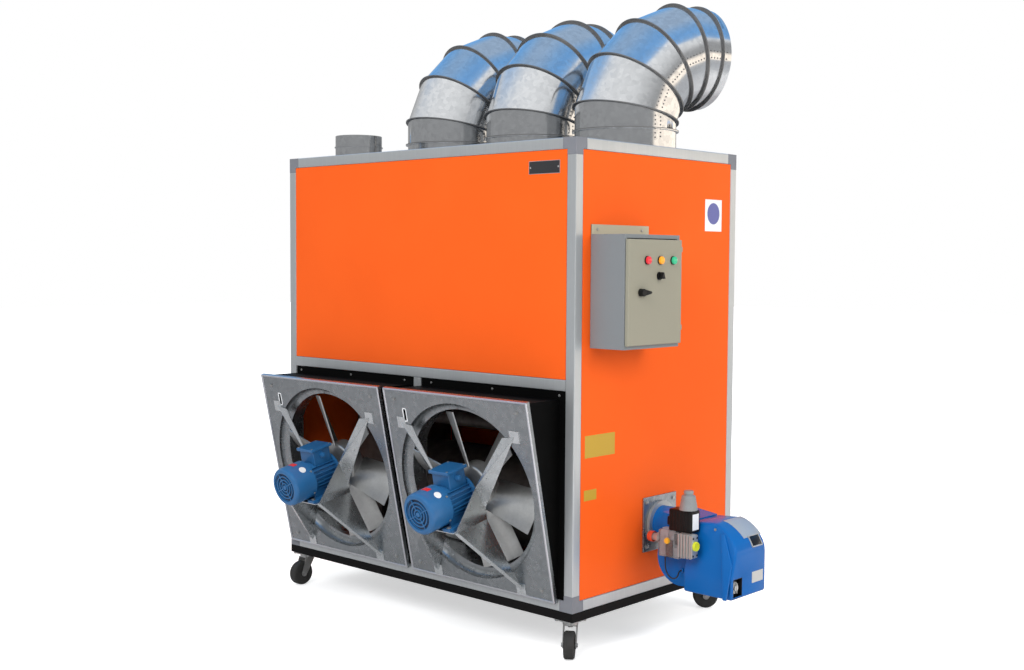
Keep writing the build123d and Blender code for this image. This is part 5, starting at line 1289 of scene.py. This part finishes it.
@dataclass
class BurnerDress:
    """The burner's cover, gas train and small parts, in its own frame.

    X runs out from the cabinet's side, Y back from its front and Z up from its base.
    """

    cover_span: Pair = (214, 420)
    cover_low: float = 86
    cover_top: float = 333
    cover_depth: Pair = (365, 585)
    cover_round: float = 9
    cover_wall: float = 3
    slope_rise: Pair = (165, 340)
    slope_in: float = 52
    facet_round: float = 2.5
    facet: Profile = ((400, -78), (414, -78), (414, 45), (364, 148), (346, 148))
    facet_span: Pair = (-1, 8)
    strip_span: Pair = (472, 584)
    strip_low: float = 288
    strip_over: Pair = (0.4, 1.2)
    strip_under: Pair = (-1.5, -1.5)
    strip_round: float = 0.6
    window_spot: Point = (407.5, 531, 274.8)
    window_tilt: float = 28.9
    window_half: Pair = (34, 22.5)
    window_border: float = 4.5
    window_foot: float = -6
    window_tops: Pair = (3.5, 1.5)
    window_rounds: Pair = (1.5, 0.8)
    recess: tuple[Pair, Pair] = ((374, 431), (91, 160))
    recess_depth: float = 20
    recess_wall: float = 2
    recess_round: float = 0.5
    dial_spot: Point = (402, 400, 126)
    dial_bar: Box = ((411, 398.2, 108), (419.5, 401.8, 144), 1)
    dial: Profile = ((0, 0), (22, 0), (22, 6), (19.5, 9), (12, 10), (10.5, 15), (0, 16))
    coil_boxes: Boxes = (
        ((157, 350, 302), (256, 405, 382), 5, 3),
        *(((166 + i * 13.5, 348.8, 308), (168.8 + i * 13.5, 350.5, 376), 0.6, 1) for i in range(7)),
        ((143, 360, 318), (158, 392, 350), 3),
    )
    coil_plate: Boxes = (((255.5, 358, 312), (256.6, 396, 370), 0.4, 1),)
    valve_boxes: Boxes = (
        ((215, 330, 218), (276, 362, 302), 2),
        *(((215.5 + i * 12.5, 325, 216), (222 + i * 12.5, 333, 302), 1.2) for i in range(5)),
        ((272, 325, 220), (278, 362, 300), 2),
    )
    valve_link: Rod = ((205, 356, 262), (216, 356, 262), 6, 0.8, 24)
    valve_inlet: Rod = ((56, 378, 262), (110, 378, 262), 13.8, 1)
    inlet_nut: Rod = ((88, 378, 262), (100, 378, 262), 19, 1.5, 6)
    valve_screws: tuple[Rod, ...] = tuple(
        ((277, y, z), (280.2, y, z), 4.2, 0.8, 6) for y in (331.5, 355.5) for z in (228, 291))
    switch_boxes: Boxes = (
        ((109, 376, 200), (206, 405, 302), 4),
        ((118, 368, 212), (150, 378, 292), 2),
        ((172, 366, 214), (198, 378, 240), 2),
    )
    switch_inside: Boxes = (((140, 362, 206), (168, 377, 262), 2), ((176, 364, 250), (196, 377, 288), 2))
    switch_cover: Boxes = (((110, 350, 201), (205, 376.5, 301), 8, 4),)
    dome_foot: Point = (225, 376, 382)
    dome: Profile = (
        (0, 0), (33, 0), (33, 6), (31.5, 9), (31, 16), (30, 18), (28.8, 28), (27.8, 28.5), (26.8, 40),
        (25.8, 40.5), (24.6, 50), (22.5, 52.5), (17, 53.5), (16, 55), (16, 58), (17.5, 59), (17.5, 66),
        (15.5, 69.5), (0, 70))
    switch_dial_spot: Point = (152, 350, 262)
    red_cap_spot: Point = (50, 378, 262)
    yellow_cap_spot: Point = (278, 343.5, 262)
    screw_spot: Point = (318, 410.5, 318)
    switch_dial: Profile = ((0, -6), (11.5, -6), (11.5, 3), (9.5, 6.5), (0, 7.5))
    red_cap: Profile = ((0, 0), (13.5, 0), (18, 3), (20, 9), (20, 21.5), (19.2, 24), (16, 24))
    yellow_cap: Profile = ((17, 0), (17, 7), (15.8, 9), (12.5, 9), (11.8, 5.5), (0, 5.5))
    screw: Profile = ((0, 3), (4, 2.6), (5.6, 0), (5.6, -2))
    screw_way: Point = (0, -0.958, 0.285)
    lead_radius: float = 2.5
    lead_length: float = 150
    lead_route: tuple[Point, ...] = (
        (126, 375, 200), (126, 375, 170), (132, 372, 144), (150, 371, 124),
        (171, 372, 121), (182, 377, 132), (182, 384, 150), (182, 399, 150),
    )
    shoulder: Profile = (
        (420, 234), (417.6, 253.5), (410, 272), (398.5, 288.5), (385, 302), (368, 315.5), (348, 328),
        (329, 336), (310, 340),
    )
    place: Matrix = field(init=False)

    def __post_init__(self) -> None:
        """Find the burner's frame from the cabinet's CAD."""
        low, high = box("frame_profiles")
        self.place = Matrix.Translation(Vector((high.x, low.y, box("base_frame")[0].z)) * MM)

    def cover(self) -> None:
        """The blue cover: one hollow form with a rolled shoulder and a sloped front."""
        shape = Shape(self.place)
        start, end = self.cover_span
        front, rear = self.cover_depth
        outline = [(start, self.cover_low), (end, self.cover_low), *self.shoulder, (start, self.cover_top)]
        shape.prism([(x, front, z) for x, z in outline], (0, rear - front, 0))
        normal = Vector((0, self.slope_rise[0] - self.slope_rise[1], self.slope_in)) * MM
        everything = shape.mesh.verts[:] + shape.mesh.edges[:] + shape.mesh.faces[:]
        cut = bmesh.ops.bisect_plane(shape.mesh, geom=everything, clear_outer=True, plane_no=normal,
                                     plane_co=shape.at((0, front, self.slope_rise[0])))
        edges = [g for g in cut["geom_cut"] if isinstance(g, bmesh.types.BMEdge)]
        bmesh.ops.holes_fill(shape.mesh, edges=edges)
        bmesh.ops.recalc_face_normals(shape.mesh, faces=shape.mesh.faces)
        shape.round_edges(shape.mesh.verts, self.cover_round, 4, 20.0)
        self.cut_recess(shape)
        wall = shape.at((start + 0.2, 0, 0)).x
        inner = [f for f in shape.mesh.faces if all(v.co.x < wall for v in f.verts)]
        bmesh.ops.delete(shape.mesh, geom=inner, context="FACES")
        made = shape.finish("burner_cover_dressed", Finishes.burner, "cabinet", 50.0, "burner_blue",
                            ("burner_cover",))
        sheet = made.modifiers.new("sheet", "SOLIDIFY")
        sheet.thickness = self.cover_wall * MM
        sheet.offset = -1.0

    def cut_recess(self, shape: Shape) -> None:
        """Open the cover's end where the dial's recess sits."""
        mesh, (across, up) = shape.mesh, self.recess
        wall = shape.at((self.cover_span[1] - 0.1, 0, 0)).x
        cuts = [((0, 1, 0), (0, y, 0)) for y in across] + [((0, 0, 1), (0, 0, z)) for z in up]
        for way, spot in cuts:
            flat = [f for f in mesh.faces if all(v.co.x > wall for v in f.verts)]
            parts = {*flat, *(e for f in flat for e in f.edges), *(v for f in flat for v in f.verts)}
            bmesh.ops.bisect_plane(mesh, geom=list(parts), plane_no=way, plane_co=shape.at(spot))
        hole = []
        for face in mesh.faces:
            spot = shape.place.inverted() @ face.calc_center_median() / MM
            inside = across[0] < spot.y < across[1] and up[0] < spot.z < up[1]
            if inside and spot.x > self.cover_span[1] - 0.1:
                hole.append(face)
        bmesh.ops.delete(mesh, geom=hole, context="FACES")

    def cover_parts(self) -> None:
        """The raised facet on the cover's slope and the silver-grey strip over its shoulder."""
        low, high = self.slope_rise
        lean = atan2(self.slope_in, high - low)
        slope = local_frame((0, self.cover_depth[0], low), (1, 0, 0), (0, sin(lean), cos(lean)))
        foot, top = self.facet_span
        facet = Shape(self.place @ slope)
        facet.prism([(x, y, foot) for x, y in self.facet], (0, 0, top - foot), self.facet_round, 3)
        facet.finish("cover_facet", Finishes.burner, angle=60.0)
        low, high = self.strip_span
        points = [p for p in self.shoulder if p[1] > self.strip_low]
        outline = [
            (x + dx, low, z + dz)
            for row, (dx, dz) in ((points, self.strip_over), (points[::-1], self.strip_under))
            for x, z in row
        ]
        strip = Shape(self.place).prism(outline, (0, high - low, 0), self.strip_round)
        strip.finish("cap_strip", Finishes.silver)

    def window(self) -> None:
        """The display: dark glass in a silver rim on the shoulder."""
        tilt = radians(self.window_tilt)
        place = self.place @ local_frame(self.window_spot, (0, 1, 0), (-sin(tilt), 0, cos(tilt)))
        (w, h), b, foot = self.window_half, self.window_border, self.window_foot
        (rim_top, glass_top), (rim_round, glass_round) = self.window_tops, self.window_rounds
        rim = Shape(place).rim((-w, -h, foot), (w, h, rim_top), b, 2, rim_round)
        rim.finish("window_rim", Finishes.silver)
        glass = Shape(place).block((b - w, b - h, foot), (w - b, h - b, glass_top), glass_round)
        glass.finish("window_glass", Finishes.glass, stands_for=("cover_fittings",))

    def damper(self) -> None:
        """The damper dial in its black recess."""
        (low, high), (floor, top) = self.recess
        end = self.cover_span[1]
        back = end - self.recess_depth
        face = back + self.recess_wall
        well = Shape(self.place).block((back, low, floor), (face, high, top), self.recess_round)
        well.rim((back, low, floor), (end, high, top), self.recess_wall, 0, self.recess_round)
        well.finish("dial_recess", Finishes.black)
        knob = Shape(self.place).turned(self.dial, self.dial_spot, (1, 0, 0))
        knob.block(*self.dial_bar)
        knob.finish("damper_dial", Finishes.silver)

    def boxes(self, name: str, look: Finish, rows: Boxes, *stands_for: str) -> None:
        """Make one piece out of boxes.

        Args:
            name: the piece's name.
            look: its finish.
            rows: its boxes.
            stands_for: CAD nodes that it replaces.
        """
        Shape(self.place).blocks(*rows).finish(name, look, stands_for=stands_for)

    def gas_train(self) -> None:
        """The solenoid coil, the regulator's ribbed dome and the die-cast valve with its inlet."""
        self.boxes("coil_block", Finishes.black, self.coil_boxes, "solenoid_coil")
        self.boxes("coil_plate", Finishes.white, self.coil_plate)
        dome = Shape(self.place).turned(self.dome, self.dome_foot, count=64)
        dome.finish("regulator_dome", Finishes.regulator, angle=50.0, stands_for=("gas_regulator",))
        valve = Shape(self.place).blocks(*self.valve_boxes)
        valve.rods(self.valve_link, self.valve_inlet, self.inlet_nut)
        valve.finish("valve_body", Finishes.cast, stands_for=("gas_valve",))
        Shape(self.place).rods(*self.valve_screws).finish("valve_screws", Finishes.black)

    def pressure_switch(self) -> None:
        """The pressure switch: its inner parts under a clear cover, with an amber knob."""
        self.boxes("switch_body", Finishes.switch, self.switch_boxes, "pressure_switch")
        self.boxes("switch_inside", Finishes.black, self.switch_inside)
        self.boxes("switch_cover", Finishes.clear, self.switch_cover)
        knob = Shape(self.place).turned(self.switch_dial, self.switch_dial_spot, (0, -1, 0), 32)
        knob.finish("switch_knob", Finishes.knob)

    def lead(self) -> None:
        """The sensing lead: one smooth cord from the pressure switch round to the fan housing."""
        data = bpy.data.curves.new("sensing_lead", "CURVE")
        data.dimensions = "3D"
        data.bevel_depth = self.lead_radius * MM
        data.bevel_resolution = 4
        data.resolution_u = 12
        spline = data.splines.new("NURBS")
        spline.points.add(len(self.lead_route) - 1)
        route = [Shape(self.place).at(p) for p in self.lead_route]
        for point, spot in zip(spline.points, route):
            point.co = (*spot, 1.0)
        spline.order_u = 3
        spline.use_endpoint_u = True
        data.materials.append(Finishes.rubber.material())
        made = bpy.data.objects.new("sensing_lead_cord", data)
        bpy.context.scene.collection.objects.link(made)
        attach(made, "cabinet")
        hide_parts("sensing_lead")

    def caps(self) -> None:
        """The red inlet cap, the yellow plug and the cover's screw."""
        red = Shape(self.place).turned(self.red_cap, self.red_cap_spot, (1, 0, 0), 40)
        red.finish("inlet_cap", Finishes.red_cap, stands_for=("gas_caps",))
        yellow = Shape(self.place).turned(self.yellow_cap, self.yellow_cap_spot, (1, 0, 0), 40)
        yellow.finish("valve_plug", Finishes.yellow_cap)
        screw = Shape(self.place).turned(self.screw, self.screw_spot, self.screw_way, 24)
        screw.finish("cover_screws", Finishes.zinc)

    def build(self) -> None:
        """Make all of it."""
        self.cover()
        self.cover_parts()
        self.window()
        self.damper()
        self.gas_train()
        self.pressure_switch()
        self.lead()
        self.caps()


@dataclass
class Plates:
    """The blank name plate, side labels and the burner's rating plate."""

    name_low: Pair = (1381, 1578)
    name_high: Pair = (1527, 1624)
    name_border: float = 1.5
    name_rivets: tuple[Rod, ...] = tuple(
        ((x, 0, 1601), (x, -2.5, 1601), 3.2, 0.8, 20) for x in (1388.5, 1519.5))
    white_box: Box = ((0, 785, 1391), (0.6, 899.5, 1515), 0.2, 1)
    spot_disc: Profile = ((0, 0.8), (42, 0.8), (42, 0.4))
    spot_centre: Point = (0, 842, 1460)
    yellow_boxes: Boxes = (((0, 62, 576), (0.6, 232, 656), 0.2, 1), ((0, 59, 424), (0.6, 129, 462), 0.2, 1))
    rating_box: Box = ((420, 494, 128), (420.6, 566, 168), 0.2, 1)

    def build(self) -> None:
        """Make the plates."""
        low, high = box("frame_profiles")
        deck = box("base_frame")[0].z
        place = Matrix.Translation(Vector((low.x, low.y + 1, deck)) * MM)
        (left, foot), (right, top) = self.name_low, self.name_high
        name = Shape(place).block((left, -1.2, foot), (right, 0, top), 0.6, 1)
        name.finish("name_plate", Finishes.plate_black, stands_for=("label_plates",))
        rim = Shape(place).rim((left, -1.5, foot), (right, 0, top), self.name_border, 1, 0.3, 1)
        rim.rods(*self.name_rivets).finish("name_plate_rim", Finishes.silver)
        side = Matrix.Translation(Vector((high.x - 1, low.y, deck)) * MM)
        white = Shape(side).block(*self.white_box)
        white.finish("side_label", Finishes.white)
        spot = Shape(side).turned(self.spot_disc, self.spot_centre, (1, 0, 0))
        spot.finish("side_label_spot", Finishes.blue_spot)
        yellow = Shape(side).blocks(*self.yellow_boxes)
        yellow.finish("yellow_labels", Finishes.yellow)
        burner = Matrix.Translation(Vector((high.x, low.y, deck)) * MM)
        rating = Shape(burner).block(*self.rating_box)
        rating.finish("rating_plate", Finishes.silver)


def dress_cad(cad: CadDresser) -> None:
    """Give every CAD node its finish, the seen ones with rounded edges of a width in millimetres."""
    kind = Finishes
    rounded = (
        (kind.base, 1, "base_frame"),
        (kind.profile, 0, "frame_profiles"),
        (kind.corner, 2, "corner_pieces"),
        (kind.panel, 1, "front_panel", "right_panel", "left_panel", "rear_panel"),
        (kind.sheet, 0.8, "fan_plates"),
        (kind.sheet, 1.2, "burner_plate"),
        (kind.bright, 0.8, "motor_brackets"),
        (kind.duct, 0, "duct_spigots", "outlet_collars", "flue_stub"),
        (kind.zinc, 0.8, "caster_plates", *("caster_fork_" + caster for caster in CASTERS)),
        (kind.tyre, 0, *("caster_wheel_" + caster for caster in CASTERS)),
        (kind.zinc, 0, "hinge_pins"),
        (kind.cowl, 0.6, "fan_cowls"),
        (kind.motor, 0.8, "motor_housings"),
        (kind.motor, 3, "terminal_boxes"),
        (kind.rotor, 0, "motor_rotor_left", "motor_rotor_right"),
        (kind.impeller, 1, "impeller_left", "impeller_right"),
        (kind.enclosure, 0.7, "enclosure_body"),
        (kind.door, 0.7, "enclosure_door"),
        (kind.rubber, 0, "door_gasket"),
        (kind.gear, 1, "control_gear"),
        (kind.burner, 1, "burner_housing"),
        (kind.burner_motor, 1, "burner_motor"),
    )
    for look, width, *nodes in rounded:
        for node in nodes:
            cad.rounded(node, look, width)
    cad.paint(kind.sheet, "roof_panel", "floor_panel")
    cad.paint(kind.heat, "combustion_chamber", "smoke_boxes", "exchanger_tubes")
    cad.paint(kind.rotor, "burner_wheel")
    head = cad.rounded("burner_head", kind.cast)
    head.data.materials.append(kind.burner.material())
    flange = (box("burner_plate")[1].x + HEAD_FLANGE) * MM
    for face in head.data.polygons:
        if face.center.x > flange:
            face.material_index = 1


def main() -> None:
    """Build every sub-assembly in order."""
    logging.basicConfig(level=logging.INFO, format="%(message)s")
    Studio().build()
    cad = CadDresser()
    dress_cad(cad)
    DuctRun().build(cad)
    fans = [FanUnit(side) for side in ("left", "right")]
    for fan in fans:
        fan.build()
    Bolts(fans).build()
    EnclosureFittings().build()
    BurnerDress().build()
    Plates().build()


if __name__ == "__main__":
    main()
